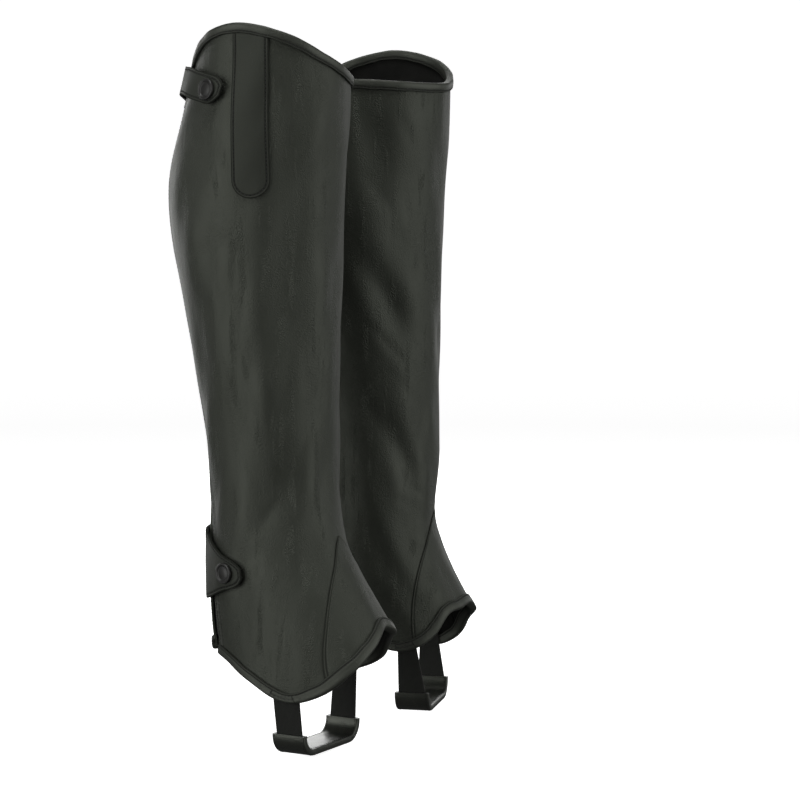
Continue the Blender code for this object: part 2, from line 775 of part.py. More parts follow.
def strap_guard(chap):
    """A leather sleeve round the strap where it passes under the foot, open at both ends."""
    bm = bmesh.new()
    hollow = STRAP_WALL / 2 + LAID_GAP
    skins = []
    for gap, width in ((hollow + GUARD_WALL, GUARD_WIDTH), (hollow, GUARD_WIDTH - 2 * GUARD_WALL)):
        skin = []
        for under, over in zip(foot_path(GUARD_TOP, gap), foot_path(GUARD_TOP, -gap)):
            ring = across_strap(chap, *under, width) + across_strap(chap, *over, width)[::-1]
            skin.append([bm.verts.new(point) for point in ring])
        for lower, upper in zip(skin, skin[1:]):
            bridge(bm, lower + lower[:1], upper + upper[:1])
        skins.append(skin)
    for end in (0, -1):
        bridge(bm, skins[0][end] + skins[0][end][:1], skins[1][end] + skins[1][end][:1])
    bmesh.ops.recalc_face_normals(bm, faces=bm.faces)
    finish(chap, "strap_guard", bm, LEATHER)


def build_chap(chap):
    body_panel(chap)
    instep_gusset(chap)
    top_binding(chap)
    hem_binding(chap)
    side_patch(chap)
    zip_tapes(chap)
    zip_chain(chap)
    zip_slider(chap)
    zip_pull(chap)
    tab(chap, "top_tab", TOP_TAB)
    snap(chap, "top_snap", TOP_SNAP)
    tab(chap, "bottom_tab", BOTTOM_TAB)
    snap(chap, "bottom_snap", BOTTOM_SNAP)
    foot_strap(chap)
    strap_guard(chap)


def build():
    clear_scene()
    build_chap(Chap("right", -1, RIGHT_FOLDS, 0.0, 0.0, (0, 0, 0)))
    left_place = (LEG_SPACING, -LEFT_LEG_AHEAD, LEFT_CHAP_HIGHER)
    build_chap(Chap("left", 1, LEFT_FOLDS, LEFT_INSTEP_BACK, LEFT_HEM_LOWER, left_place))


build()
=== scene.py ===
"""The looks of a pair of long leather half chaps, laid out as an add-on and run as a script.

Each chap is shaped in a frame of its own. A spot on it is given in degrees round the chap, from the middle
of its back through its outside to the front, in height above the ground, and in distance out of the
leather's outer face. Walls of leather and cloth are meshes on the form of their solids, and the hard pieces
are modelled from primitives.
"""

import json
import math
from collections import namedtuple

import bmesh
import bpy
import numpy as np
from mathutils import Matrix, Vector


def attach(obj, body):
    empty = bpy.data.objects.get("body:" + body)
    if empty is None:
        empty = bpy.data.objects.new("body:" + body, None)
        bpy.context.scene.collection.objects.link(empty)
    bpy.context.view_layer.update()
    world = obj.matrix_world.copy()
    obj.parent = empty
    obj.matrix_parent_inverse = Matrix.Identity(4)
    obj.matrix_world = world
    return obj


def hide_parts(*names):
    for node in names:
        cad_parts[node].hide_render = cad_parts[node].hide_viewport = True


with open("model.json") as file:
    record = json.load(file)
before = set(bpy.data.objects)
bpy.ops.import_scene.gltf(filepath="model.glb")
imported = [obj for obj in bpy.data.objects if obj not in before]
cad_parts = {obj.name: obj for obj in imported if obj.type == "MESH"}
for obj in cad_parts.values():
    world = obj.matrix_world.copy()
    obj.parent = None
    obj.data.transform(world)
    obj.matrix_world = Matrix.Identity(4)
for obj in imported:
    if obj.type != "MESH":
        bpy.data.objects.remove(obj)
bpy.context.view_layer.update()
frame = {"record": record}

bl_info = {
    "name": "Half chaps",
    "version": (1, 0, 0),
    "blender": (4, 5, 0),
    "location": "View3D > Sidebar > Half chaps",
    "description": "Makes a pair of leather half chaps, with their bindings, zips, snaps and foot straps",
    "category": "Object",
}

MM = 0.001

# Degrees round a chap, from the middle of its back.
OUTSIDE = 90
FRONT = 180
FULL_TURN = 360

# Where the two chaps stand. Their fronts face -Y, so the right one's outside is towards -X. The ground lies
# GRIP_HEIGHT below the origin.
MOUNTS = {mount["name"]: Vector(mount["pos_m"]) for mount in frame["record"]["mounts"]}
GRIP_HEIGHT = 405 * MM
TOE_OUT = math.radians(8.5)

# Leather and the gaps that part one piece from the next. The gusset's edges lap over the notch's, so that no
# light shows through the seam, and its face and wall leave room for its relief.
SEAM_GAP = 0.4 * MM
SEAM_LAP = 0.35 * MM
LAID_GAP = 0.35 * MM
GUSSET_WALL = 2.4 * MM
GUSSET_THINNER = 0.4 * MM
GUSSET_PROUD = 0.6 * MM
GUSSET_LOWER = 0.25 * MM
TAB_WALL = 2.0 * MM
PATCH_WALL = 1.2 * MM
EDGE_ROUNDING = 0.45 * MM
PATCH_ROUNDING = 0.35 * MM
TAB_ROUNDING = 0.5 * MM
STRAP_ROUNDING = 0.4 * MM
SEW_IN = 2.1 * MM

# Strips folded over the top edge and the hem. The top one's end laps over its beginning: it stands up by
# LAP_RISE within LAP_EDGE degrees, stays level for one share of LAP_LENGTH, and slopes away over another.
BINDING_DEPTH = 5.8 * MM
BINDING_WALL = 1.3 * MM
BINDING_GAP = 0.45 * MM
TOP_BINDING_STAND = 0.7 * MM
HEM_BINDING_STAND = 1.0 * MM
BINDING_SEW_IN = 1.5 * MM
LAP_LENGTH = 11 * MM
LAP_RISE = 0.55 * MM
LAP_LEVEL = 0.7
LAP_SLOPE = 0.5
LAP_EDGE = 0.25

# Zip.
ZIP_OPENING = 12 * MM
ZIP_AROUND_CALF = 20
ZIP_AROUND_ANKLE = 41
ZIP_TURNS_FROM = 250 * MM
ZIP_TURNS_TO = 105 * MM
ZIP_END_CLEAR = 10 * MM
TAPE_WALL = 0.8 * MM
TAPE_GAP = 0.6 * MM
TAPE_UNDER_PANEL = 7 * MM
TAPE_FROM_CENTRE = 0.25 * MM
CHAIN_WALL = 1.8 * MM
CHAIN_TOP_CLEAR = 14 * MM
SLIDER_LENGTH = 13 * MM
SLIDER_WIDTH = 8.6 * MM
SLIDER_PLATE = 1.2 * MM
SLIDER_POST = 3.4 * MM
SLIDER_HEAD_BELOW_RIM = 6 * MM
PULL_LENGTH = 20 * MM
PULL_WIDTH = 4.6 * MM
PULL_WALL = 1.0 * MM
PULL_HEAD_CLEAR = 3 * MM

# Notch for the instep gusset.
NOTCH_PEAK = 165 * MM
NOTCH_OUTER_ANGLE = 60
NOTCH_INNER_ANGLE = 77
NOTCH_POWER = 0.9

# The left chap's instep and hem differ from the right one's.
LEFT_INSTEP_BACK = 25 * MM
INSTEP_BACK_FROM = 215 * MM
INSTEP_BACK_TO = 90 * MM
LEFT_HEM_LOWER = 10 * MM
HEM_LOWER_FROM = 50

# Patch on the outside.
PATCH_FORWARD = 14.3 * MM
PATCH_WIDTH = 26.5 * MM
PATCH_LENGTH = 118 * MM

# Elastic strap below the hem, the sewn box that holds each of its ends, and the guard round its middle.
STRAP_FORWARD = 37.5 * MM
STRAP_WIDTH = 22 * MM
STRAP_WALL = 1.6 * MM
STRAP_TUCK = 14 * MM
BOX_HALF_WIDTH = STRAP_WIDTH / 2 - 0.6 * MM
BOX_LOW = 1.4 * MM
STRAP_HALF_FOOT = 38 * MM
STRAP_LOW = 7 * MM
STRAP_CORNER = 13 * MM
GUARD_WALL = 1.3 * MM
GUARD_WIDTH = 28 * MM
GUARD_TOP = 21 * MM

CAP_RADIUS = 7.7 * MM
CAP_HEIGHT = 2.3 * MM
STUD_RADIUS = 4.6 * MM

# Camera, for an image of 800 by 800. Its height is above the ground.
VIEW_TURN = math.radians(21)
VIEW_TILT = math.radians(3.425)
CAMERA_BACK = 1.667
CAMERA_ASIDE = 0.095
CAMERA_HEIGHT = 0.364
LENS = 100
SENSOR = 36

# Millimetres. "centre" is how far forward of the chap's line the section is widest; "back" and "front" are
# how far it reaches behind and ahead of that, and "side" is its half width.
Section = namedtuple("Section", "height centre back front side")
SECTIONS = (
    Section(30, 32, 79, 104, 48),
    Section(75, 24, 71, 85, 47.5),
    Section(98, 18, 67, 78, 47),
    Section(116, 12.5, 62.5, 71.5, 46.5),
    Section(137, 7, 56.5, 63.5, 45.5),
    Section(160, 4, 52.6, 54.2, 44.5),
    Section(200, 1, 50.8, 50.4, 44),
    Section(245, -1.5, 52.6, 52, 46),
    Section(290, -4.5, 56.3, 55.8, 49.5),
    Section(335, -8.5, 61.2, 60.8, 53),
    Section(380, -12.5, 68, 66, 56),
    Section(425, -12.5, 70.5, 67.8, 57.5),
    Section(470, -6.5, 66, 65.2, 56.5),
    Section(510, -1.5, 58.6, 62, 54),
    Section(550, 1, 54, 61.5, 52.5),
)

# Height in millimetres of the cut edges, by degrees round the chap.
EdgePoint = namedtuple("EdgePoint", "around height")
RIM_LINE = (
    EdgePoint(0, 511),
    EdgePoint(25, 513),
    EdgePoint(50, 528.5),
    EdgePoint(75, 536.5),
    EdgePoint(98, 538.5),
    EdgePoint(130, 530),
    EdgePoint(160, 516.5),
    EdgePoint(190, 506.5),
    EdgePoint(225, 504.5),
    EdgePoint(270, 506.5),
    EdgePoint(320, 510),
    EdgePoint(360, 511),
)
HEM_LINE = (
    EdgePoint(0, 80),
    EdgePoint(30, 79),
    EdgePoint(52, 75),
    EdgePoint(75, 61.5),
    EdgePoint(97, 48),
    EdgePoint(115, 55),
    EdgePoint(135, 71),
    EdgePoint(158, 87),
    EdgePoint(180, 100),
    EdgePoint(202, 94),
    EdgePoint(221, 86),
    EdgePoint(240, 70),
    EdgePoint(257, 60),
    EdgePoint(270, 57),
    EdgePoint(285, 62),
    EdgePoint(308, 74),
    EdgePoint(330, 79),
    EdgePoint(360, 80),
)

# Soft folds of the leather, in degrees and millimetres. "around" is where the fold crosses "middle"; "lean"
# is how many degrees further round it lies at its top than at its foot. A negative depth is a ridge.
Fold = namedtuple("Fold", "around lean middle length width depth")
RIGHT_FOLDS = (
    Fold(137, -6, 375, 300, 15, 2.6),
    Fold(115, 4, 330, 190, 13, -1.2),
    Fold(101, 2, 330, 150, 11, 1.2),
    Fold(158, 8, 470, 110, 14, -1.2),
    Fold(128, 30, 205, 90, 16, 1.5),
    Fold(232, 10, 360, 210, 15, 2.2),
    Fold(285, -14, 300, 170, 14, 1.8),
    Fold(330, 8, 240, 120, 13, 1.5),
)
LEFT_FOLDS = (
    Fold(250, 34, 450, 120, 13, 2.0),
    Fold(238, 46, 330, 110, 14, 2.4),
    Fold(262, -26, 375, 110, 15, -1.8),
    Fold(236, 40, 215, 90, 13, 2.0),
    Fold(300, 10, 300, 210, 15, 1.8),
    Fold(120, -8, 390, 230, 15, 2.2),
    Fold(75, 12, 290, 170, 14, 1.8),
    Fold(150, 18, 230, 110, 14, 1.5),
)

# Narrower creases, which the solids leave out.
RIGHT_CREASES = (
    Fold(118, 3, 480, 46, 4.5, 0.45),
    Fold(126, -5, 455, 60, 5, -0.35),
    Fold(112, 10, 415, 70, 6, 0.35),
    Fold(150, -4, 410, 90, 6, 0.5),
    Fold(96, 6, 372, 60, 5, -0.3),
    Fold(122, 12, 300, 70, 5, 0.4),
    Fold(142, 10, 285, 60, 5, -0.4),
    Fold(104, -8, 262, 50, 6, 0.4),
    Fold(150, 24, 240, 44, 5, 0.5),
    Fold(112, 30, 182, 40, 6, 0.45),
    Fold(95, 34, 150, 36, 6, 0.35),
    Fold(62, 8, 420, 100, 6, 0.4),
    Fold(72, -6, 330, 70, 6, 0.3),
    Fold(58, 14, 200, 50, 6, 0.4),
    Fold(205, -12, 440, 70, 5, 0.5),
    Fold(248, 16, 405, 80, 6, 0.45),
    Fold(262, -20, 250, 60, 6, 0.5),
    Fold(300, 22, 420, 70, 6, 0.4),
    Fold(318, -10, 350, 80, 6, 0.4),
    Fold(280, 26, 180, 50, 6, 0.5),
    Fold(210, 24, 200, 44, 6, 0.5),
    Fold(338, 12, 170, 50, 5, 0.4),
)
LEFT_CREASES = (
    Fold(232, 22, 470, 46, 4.5, 0.5),
    Fold(246, 30, 418, 52, 5, 0.5),
    Fold(226, 26, 392, 60, 5, -0.4),
    Fold(216, 18, 352, 60, 5, 0.4),
    Fold(244, 44, 300, 50, 5, 0.6),
    Fold(228, 36, 272, 44, 5, -0.4),
    Fold(218, 40, 182, 22, 5, 0.4),
    Fold(230, 40, 172, 20, 5, 0.35),
    Fold(208, -16, 240, 60, 5, 0.4),
    Fold(262, 20, 250, 60, 6, 0.5),
    Fold(292, -20, 420, 80, 6, 0.4),
    Fold(318, 14, 330, 80, 6, 0.4),
    Fold(284, 26, 180, 50, 6, 0.5),
    Fold(62, -8, 420, 90, 6, 0.4),
    Fold(98, 8, 350, 80, 6, 0.4),
    Fold(130, 16, 300, 60, 5, 0.5),
    Fold(110, -22, 190, 50, 6, 0.45),
    Fold(165, 10, 430, 70, 6, 0.4),
    Fold(180, -14, 310, 60, 6, 0.4),
    Fold(338, 10, 200, 60, 5, 0.4),
)

# Slow waves that keep the leather from being perfectly even: whole waves round the chap, millimetres from
# crest to crest up it, degrees of phase, and millimetres of height.
Wave = namedtuple("Wave", "round up phase size")
WAVES = (
    Wave(5, 170, 20, 0.30),
    Wave(-7, 120, 130, 0.22),
    Wave(11, 240, 250, 0.16),
    Wave(-13, 83, 70, 0.12),
    Wave(9, -61, 310, 0.10),
)

# The two tabs across the zip, in millimetres: "along" is measured from the zip's centre and "lift" from the
# panel to the tab's inside.
TabSection = namedtuple("TabSection", "along low high lift")
TOP_TAB = (
    TabSection(-25, 484.5, 504.6, 0.5),
    TabSection(-14, 486, 505, 1.9),
    TabSection(-4, 489.5, 508.5, 3.4),
    TabSection(8, 491.4, 512, 4.3),
    TabSection(20, 490.6, 511.3, 3.9),
    TabSection(31, 488.8, 509.6, 3.1),
    TabSection(41, 486.4, 507.2, 2.6),
    TabSection(51, 484.2, 505, 2.5),
    TabSection(62, 482, 502, 2.8),
    TabSection(66, 484, 499.5, 3),
    TabSection(69.5, 487.5, 495.5, 3.2),
)
TOP_SNAP = TabSection(58, 492.4, 492.4, 2.7)
BOTTOM_TAB = (
    TabSection(-26, 113, 170, 0.5),
    TabSection(-15, 114, 169, 1.0),
    TabSection(-5, 115.5, 167, 1.7),
    TabSection(6, 118, 162, 1.9),
    TabSection(16, 121.5, 156, 2.0),
    TabSection(25, 125, 151.5, 2.1),
    TabSection(33, 127.5, 148.5, 2.2),
    TabSection(38.5, 130.5, 145.5, 2.4),
    TabSection(42, 134.5, 141.5, 2.6),
)
BOTTOM_SNAP = TabSection(28.5, 138, 138, 2.15)

# What each piece was cut to before it was sewn, in millimetres, and the share of that rectangle it fills.
Cut = namedtuple("Cut", "width length filled")

# How finely each form is divided.
PANEL_COLUMNS = 76
LOWER_ROWS = 42
UPPER_ROWS = 130
GUSSET_ROWS = 52
GUSSET_COLUMNS = 44
BINDING_STEPS = 300
FOLD_STEPS = 10
PATCH_ROWS = 88
PATCH_END_ROWS = 22
PATCH_COLUMNS = 30
TAB_ROWS = 64
TAB_COLUMNS = 30
TAPE_ROWS = 150
STRAP_ROWS = 130
STRAP_COLUMNS = 8
CORNER_STEPS = 12
GUARD_ROWS = 70
LINE_STEPS = 400
NOTCH_LINE_STEPS = 120
PATCH_LINE_STEPS = 60
CROSS_STEPS = 19
BOX_STEPS = 10
TAB_OUTLINE_STEPS = 60


class ChapSizes(bpy.types.PropertyGroup):
    """Sizes that a user would change."""

    leather_wall: bpy.props.FloatProperty(
        name="Body leather", description="Thickness of the body panel", default=2.0 * MM, unit="LENGTH"
    )
    fold_strength: bpy.props.FloatProperty(
        name="Folds", description="Depth of the soft folds, 1 as in the solids", default=1.5, subtype="FACTOR"
    )
    crease_strength: bpy.props.FloatProperty(
        name="Creases", description="Depth of the narrow creases", default=1.5, subtype="FACTOR"
    )
    grain_size: bpy.props.FloatProperty(
        name="Grain", description="Width of one pebble of the grain", default=1.1 * MM, unit="LENGTH"
    )
    binding_crown: bpy.props.FloatProperty(
        name="Binding crown", description="How far bindings are rounded out", default=0.3 * MM, unit="LENGTH"
    )
    stitch_pitch: bpy.props.FloatProperty(
        name="Stitch pitch", description="From one stitch to the next", default=2.9 * MM, unit="LENGTH"
    )
    stitch_length: bpy.props.FloatProperty(
        name="Stitch length", description="Thread that shows between holes", default=2.15 * MM, unit="LENGTH"
    )
    thread_width: bpy.props.FloatProperty(
        name="Thread", description="Width of the sewing thread", default=0.5 * MM, unit="LENGTH"
    )
    tooth_pitch: bpy.props.FloatProperty(
        name="Zip pitch", description="From one zip tooth to the next", default=1.3 * MM, unit="LENGTH"
    )


def colour(name, default):
    """A colour property of three linear values."""
    return bpy.props.FloatVectorProperty(
        name=name, description=f"Colour of the {name.lower()}", default=default, subtype="COLOR", size=3
    )


class ChapColours(bpy.types.PropertyGroup):
    """Colours that a user would change."""

    leather: colour("Leather", (0.0148, 0.0163, 0.0130))
    binding: colour("Bindings", (0.0150, 0.0160, 0.0135))
    patch: colour("Patches and tabs", (0.0075, 0.0084, 0.0068))
    lining: colour("Lining", (0.0058, 0.0061, 0.0050))
    thread: colour("Thread", (0.0035, 0.0035, 0.0030))
    tape: colour("Zip tape", (0.0060, 0.0060, 0.0060))
    teeth: colour("Zip teeth", (0.0090, 0.0090, 0.0090))
    elastic: colour("Elastic", (0.0060, 0.0070, 0.0048))
    metal: colour("Snaps", (0.0300, 0.0300, 0.0285))
    floor: colour("Floor", (0.8600, 0.8600, 0.8600))


def mix(a, b, share):
    return a + (b - a) * share


def ease(x):
    """0 below 0, 1 above 1, and a smooth step between."""
    x = np.clip(x, 0.0, 1.0)
    return x * x * (3 - 2 * x)


def shares(count):
    """Even shares from 0 to 1, at both ends of this many steps."""
    return np.arange(count + 1) / count


def lengths_along(points):
    """How far along a line of points each of them lies."""
    return np.concatenate([[0], np.cumsum(np.linalg.norm(np.diff(points, axis=0), axis=1))])


def curve_through(points, x):
    """A smooth curve through (x, y) points, level beyond both ends of the list."""
    xs, ys = np.array([(p[0], p[1]) for p in points], float).T
    x = np.clip(np.asarray(x, float), xs[0], xs[-1])
    k = np.clip(np.searchsorted(xs, x, side="right") - 1, 0, len(xs) - 2)
    slopes = np.gradient(ys)
    slopes[1:-1] = (ys[2:] - ys[:-2]) / (xs[2:] - xs[:-2])
    slopes[0] = (ys[1] - ys[0]) / (xs[1] - xs[0])
    slopes[-1] = (ys[-1] - ys[-2]) / (xs[-1] - xs[-2])
    span = xs[k + 1] - xs[k]
    t = (x - xs[k]) / span
    start_share = 2 * t**3 - 3 * t**2 + 1
    from_slopes = (t**3 - 2 * t**2 + t) * slopes[k] + (t**3 - t**2) * slopes[k + 1]
    return start_share * ys[k] + (1 - start_share) * ys[k + 1] + span * from_slopes


def section_value(name, height):
    return curve_through([(s.height * MM, getattr(s, name) * MM) for s in SECTIONS], height)


def degrees_for(distance, height):
    """Degrees round the chap that a distance along the leather spans."""
    return np.degrees(distance * 2 / (section_value("back", height) + section_value("side", height)))


def rim_height(around):
    return curve_through([(p.around, p.height * MM) for p in RIM_LINE], np.mod(around, FULL_TURN))


def zip_around(height, along=0.0):
    """Degrees round the chap of the zip's line, or of a point this far along the leather from it."""
    turned = ease((ZIP_TURNS_FROM - height) / (ZIP_TURNS_FROM - ZIP_TURNS_TO))
    return mix(ZIP_AROUND_CALF, ZIP_AROUND_ANKLE, turned) + degrees_for(along, height)


def panel_edge(height, side, inside=0.0):
    """Degrees round the chap of the panel's edge beside the zip, or of a line this far inside that edge; side
    is 1 for outside of the zip and -1 for inside of it."""
    edge = zip_around(height, side * (ZIP_OPENING / 2 + inside))
    return edge if side > 0 else edge + FULL_TURN


def notch_foot(side):
    return FRONT - (NOTCH_OUTER_ANGLE if side > 0 else -NOTCH_INNER_ANGLE)


def fold_depth(folds, around, height):
    depth = 0.0
    for fold in folds:
        along = (height / MM - fold.middle) / fold.length
        across = (around - fold.around - fold.lean * along) / fold.width
        within = np.abs(along) < 0.5
        depth = depth + within * fold.depth * MM * np.exp(-across * across) * np.cos(np.pi * along) ** 2
    return depth


def wave_height(around, height, phase):
    size = 0.0
    for wave in WAVES:
        turn = np.radians(wave.round * around + wave.phase + phase)
        size = size + wave.size * MM * np.sin(turn + 2 * np.pi * height / (wave.up * MM))
    return size


class Chap:
    """One chap's form. Points are worked out for whole arrays of spots at once."""

    def __init__(self, name, outwards, folds, creases, instep_back, hem_lower, wave_phase, lap_around):
        sizes = bpy.context.scene.chap_sizes
        self.name = name
        self.outwards = outwards
        self.folds = folds
        self.creases = creases
        self.instep_back = instep_back
        self.hem_lower = hem_lower
        self.wave_phase = wave_phase
        self.lap_around = lap_around
        self.fold_strength = sizes.fold_strength
        self.crease_strength = sizes.crease_strength
        place = Matrix.Translation(MOUNTS[f"{name}_leg"]) @ Matrix.Rotation(outwards * TOE_OUT, 4, "Z")
        self.place = np.array(place)

    def hem_height(self, around):
        line = curve_through([(p.around, p.height * MM) for p in HEM_LINE], np.mod(around, FULL_TURN))
        from_front = np.abs(np.mod(around, FULL_TURN) - FRONT)
        return line - self.hem_lower * ease(1 - from_front / HEM_LOWER_FROM)

    def seam(self, side, up, gap=0.0):
        """A spot on the notch's outer (1) or inner (-1) side, up from 0 at the hem to 1 at its peak, moved
        into the notch by a gap along the leather."""
        foot = notch_foot(side)
        height = mix(self.hem_height(foot), NOTCH_PEAK, up)
        opening = np.sin(np.pi / 2 * np.clip(1 - up, 0, 1)) ** NOTCH_POWER
        return mix(FRONT, foot, opening) + side * degrees_for(gap, height), height

    def relief(self, around, height):
        """How far folds, creases and waves bring the leather in from its plain form."""
        around = np.mod(around, FULL_TURN)
        folds = self.fold_strength * fold_depth(self.folds, around, height)
        creases = self.crease_strength * fold_depth(self.creases, around, height)
        return folds + creases - self.crease_strength * wave_height(around, height, self.wave_phase)

    def surface(self, around, height):
        """The leather's outer face in the (out, forward, up) frame of the chap."""
        turn = np.radians(around)
        held_back = ease((INSTEP_BACK_FROM - height) / (INSTEP_BACK_FROM - INSTEP_BACK_TO))
        ahead = section_value("front", height) - self.instep_back * held_back
        reach = np.where(np.cos(turn) > 0, section_value("back", height), ahead)
        depth = self.relief(around, height)
        out = (section_value("side", height) - depth) * np.sin(turn)
        forward = section_value("centre", height) - (reach - depth) * np.cos(turn)
        return np.stack([out, forward, height], axis=-1)

    def face(self, around, height):
        """Points of the outer face and its unit normals, both in the chap's frame."""
        around, height = np.broadcast_arrays(np.asarray(around, float), np.asarray(height, float))
        step_round = self.surface(around + 0.5, height) - self.surface(around - 0.5, height)
        step_up = self.surface(around, height + MM) - self.surface(around, height - MM)
        normals = np.cross(step_round, step_up)
        normals /= np.linalg.norm(normals, axis=-1, keepdims=True)
        return self.surface(around, height), normals

    def point(self, around, height, out=0.0):
        points, normals = self.face(around, height)
        return self.placed(points + normals * np.asarray(out, float)[..., None])

    def normal(self, around, height):
        normals = self.face(around, height)[1]
        return self.placed(normals) - self.placed(np.zeros(3))

    def frames(self, around, height, out=0.0):
        """Points, and right-handed directions at each: across the leather, up it and out of it."""
        around, height, out = np.broadcast_arrays(*[np.asarray(v, float) for v in (around, height, out)])
        normal = self.normal(around, height)
        up = self.placed(self.surface(around, height + MM)) - self.placed(self.surface(around, height - MM))
        up -= normal * np.sum(up * normal, axis=-1, keepdims=True)
        up /= np.linalg.norm(up, axis=-1, keepdims=True)
        return self.point(around, height, out), np.cross(up, normal), up, normal

    def placed(self, local):
        """Points of the chap's frame, in the frame of the whole pair."""
        local = np.asarray(local, float)
        out, forward, up = np.moveaxis(local, -1, 0)
        standing = np.stack([self.outwards * out, -forward, up - GRIP_HEIGHT], axis=-1)
        return standing @ self.place[:3, :3].T + self.place[:3, 3]

    def around_at(self, forward, height):
        """Degrees round the chap at which its outside is this far forward."""
        ahead = forward - section_value("centre", height)
        reach = np.where(ahead > 0, section_value("front", height), section_value("back", height))
        return OUTSIDE + np.degrees(np.arcsin(ahead / reach))


# How the two chaps differ: the sign of X towards the outside, their folds and creases, how far the instep is
# set back and the hem lower in front, degrees of phase of the waves, and degrees round to where the top
# binding laps.
Side = namedtuple("Side", "name outwards folds creases instep_back hem_lower wave_phase lap_around")
SIDES = (
    Side("right", -1, RIGHT_FOLDS, RIGHT_CREASES, 0.0, 0.0, 0, 117.5),
    Side("left", 1, LEFT_FOLDS, LEFT_CREASES, LEFT_INSTEP_BACK, LEFT_HEM_LOWER, 145, 241),
)


def both_chaps():
    return [Chap(*side) for side in SIDES]


def grid_faces(rows, columns, flip, first=0):
    """Quads of a grid of points that are numbered row by row from "first"."""
    corner = first + np.arange(rows - 1)[:, None] * columns + np.arange(columns - 1)[None, :]
    quads = np.stack([corner, corner + 1, corner + columns + 1, corner + columns], axis=-1).reshape(-1, 4)
    return quads[:, ::-1] if flip else quads


def new_piece(name, points, faces, looks, flat=None, wear_and_painted_light=None):
    """A mesh piece at the origin. "flat" is where each point lies on the flat cloth, in metres, kept as a UV
    map, and "wear_and_painted_light" is above 0 where it is paler, from rubbing and painted highlights, and
    below 0 where it is darker, from painted shade and dark cut edges, kept as an attribute."""
    mesh = bpy.data.meshes.new(name)
    mesh.from_pydata(np.asarray(points).reshape(-1, 3).tolist(), [], [list(map(int, f)) for f in faces])
    for look in looks:
        mesh.materials.append(look)
    if flat is not None:
        corners = np.zeros(len(mesh.loops), np.int32)
        mesh.loops.foreach_get("vertex_index", corners)
        layer = mesh.uv_layers.new(name="flat")
        layer.data.foreach_set("uv", np.asarray(flat, np.float32).reshape(-1, 2)[corners].ravel())
    wear_and_light_marks = mesh.attributes.new("wear_and_painted_light", "FLOAT", "POINT")
    if wear_and_painted_light is not None:
        wear_and_light_marks.data.foreach_set("value", np.asarray(wear_and_painted_light, np.float32).ravel())
    mesh.update()
    piece = bpy.data.objects.new(name, mesh)
    bpy.context.scene.collection.objects.link(piece)
    return piece


def merge_points(piece, within=0.01 * MM):
    bm = bmesh.new()
    bm.from_mesh(piece.data)
    bmesh.ops.remove_doubles(bm, verts=bm.verts, dist=within)
    bmesh.ops.dissolve_degenerate(bm, edges=bm.edges, dist=within)
    bm.to_mesh(piece.data)
    bm.free()


def select_only(*pieces):
    """Selects these pieces and no others, and makes the first of them active."""
    for other in bpy.context.selected_objects:
        other.select_set(False)
    for piece in pieces:
        piece.select_set(True)
    if pieces:
        bpy.context.view_layer.objects.active = pieces[0]


def apply_modifiers(piece):
    select_only(piece)
    for modifier in list(piece.modifiers):
        bpy.ops.object.modifier_apply(modifier=modifier.name)


def add_rounding(piece, width, segments, angle):
    rounded = piece.modifiers.new("rounded edges", "BEVEL")
    rounded.width = width
    rounded.segments = segments
    rounded.limit_method = "ANGLE"
    rounded.angle_limit = math.radians(angle)


def thicken(piece, wall, rounding=EDGE_ROUNDING, inner_look=0):
    """Gives an open sheet its wall, inwards from its outer face, and rounds its cut edges."""
    thickness = piece.modifiers.new("thickness", "SOLIDIFY")
    thickness.thickness = wall
    thickness.offset = -1
    thickness.use_even_offset = True
    thickness.material_offset = inner_look
    if rounding:
        add_rounding(piece, rounding, segments=2, angle=50)
    apply_modifiers(piece)


def smooth(piece, sharp_from=45):
    select_only(piece)
    bpy.ops.object.shade_smooth_by_angle(angle=math.radians(sharp_from))


def settle(chap, piece, node):
    """Puts a finished piece in a solid's place."""
    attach(piece, "root")
    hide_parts(f"{chap.name}_{node}")


def flat_place(around, height):
    """Where a spot lies on the flat leather, in metres."""
    return np.stack([np.asarray(around) / degrees_for(1.0, height), np.asarray(height)], axis=-1)


def distance_to(outline, x, y):
    """Distance from points to the nearest part of a closed outline."""
    starts = np.asarray(outline, float)
    steps = np.roll(starts, -1, axis=0) - starts
    x, y = np.asarray(x, float), np.asarray(y, float)
    nearest = np.full(x.shape, np.inf)
    for (ax, ay), (sx, sy) in zip(starts, steps):
        length = max(sx * sx + sy * sy, 1e-18)
        t = np.clip(((x - ax) * sx + (y - ay) * sy) / length, 0, 1)
        nearest = np.minimum(nearest, np.hypot(x - ax - t * sx, y - ay - t * sy))
    return nearest


def inset(outline, distance):
    """A closed outline moved inwards, for an outline that bends one way only and runs against the clock."""
    points = np.asarray(outline, float)
    ahead = np.roll(points, -1, axis=0) - np.roll(points, 1, axis=0)
    inwards = np.stack([-ahead[:, 1], ahead[:, 0]], axis=1)
    inwards /= np.linalg.norm(inwards, axis=1, keepdims=True)
    return points + inwards * distance


LEAST_WIDTH_SHARE = 1.3


def marked_shares(widths, count, start, end):
    """Shares across each row of a grid: columns lie at fixed distances inside its first and last edges, and
    evenly between them. Rows too narrow for that are drawn in."""
    widths = np.maximum(np.asarray(widths, float).reshape(-1, 1), 1e-9)
    start, end = np.asarray(start, float), np.asarray(end, float)
    drawn_in = np.minimum(1, widths / (LEAST_WIDTH_SHARE * (start[-1] + end[-1])))
    first = start * drawn_in / widths
    last = 1 - end[::-1] * drawn_in / widths
    between = count + 1 - len(start) - len(end)
    even = mix(first[:, -1:], last[:, :1], np.arange(1, between + 1) / (between + 1))
    return np.concatenate([first, even, last], axis=1)


def groove(distance, at, width=0.5 * MM):
    return np.exp(-(((distance - at) / width) ** 2))
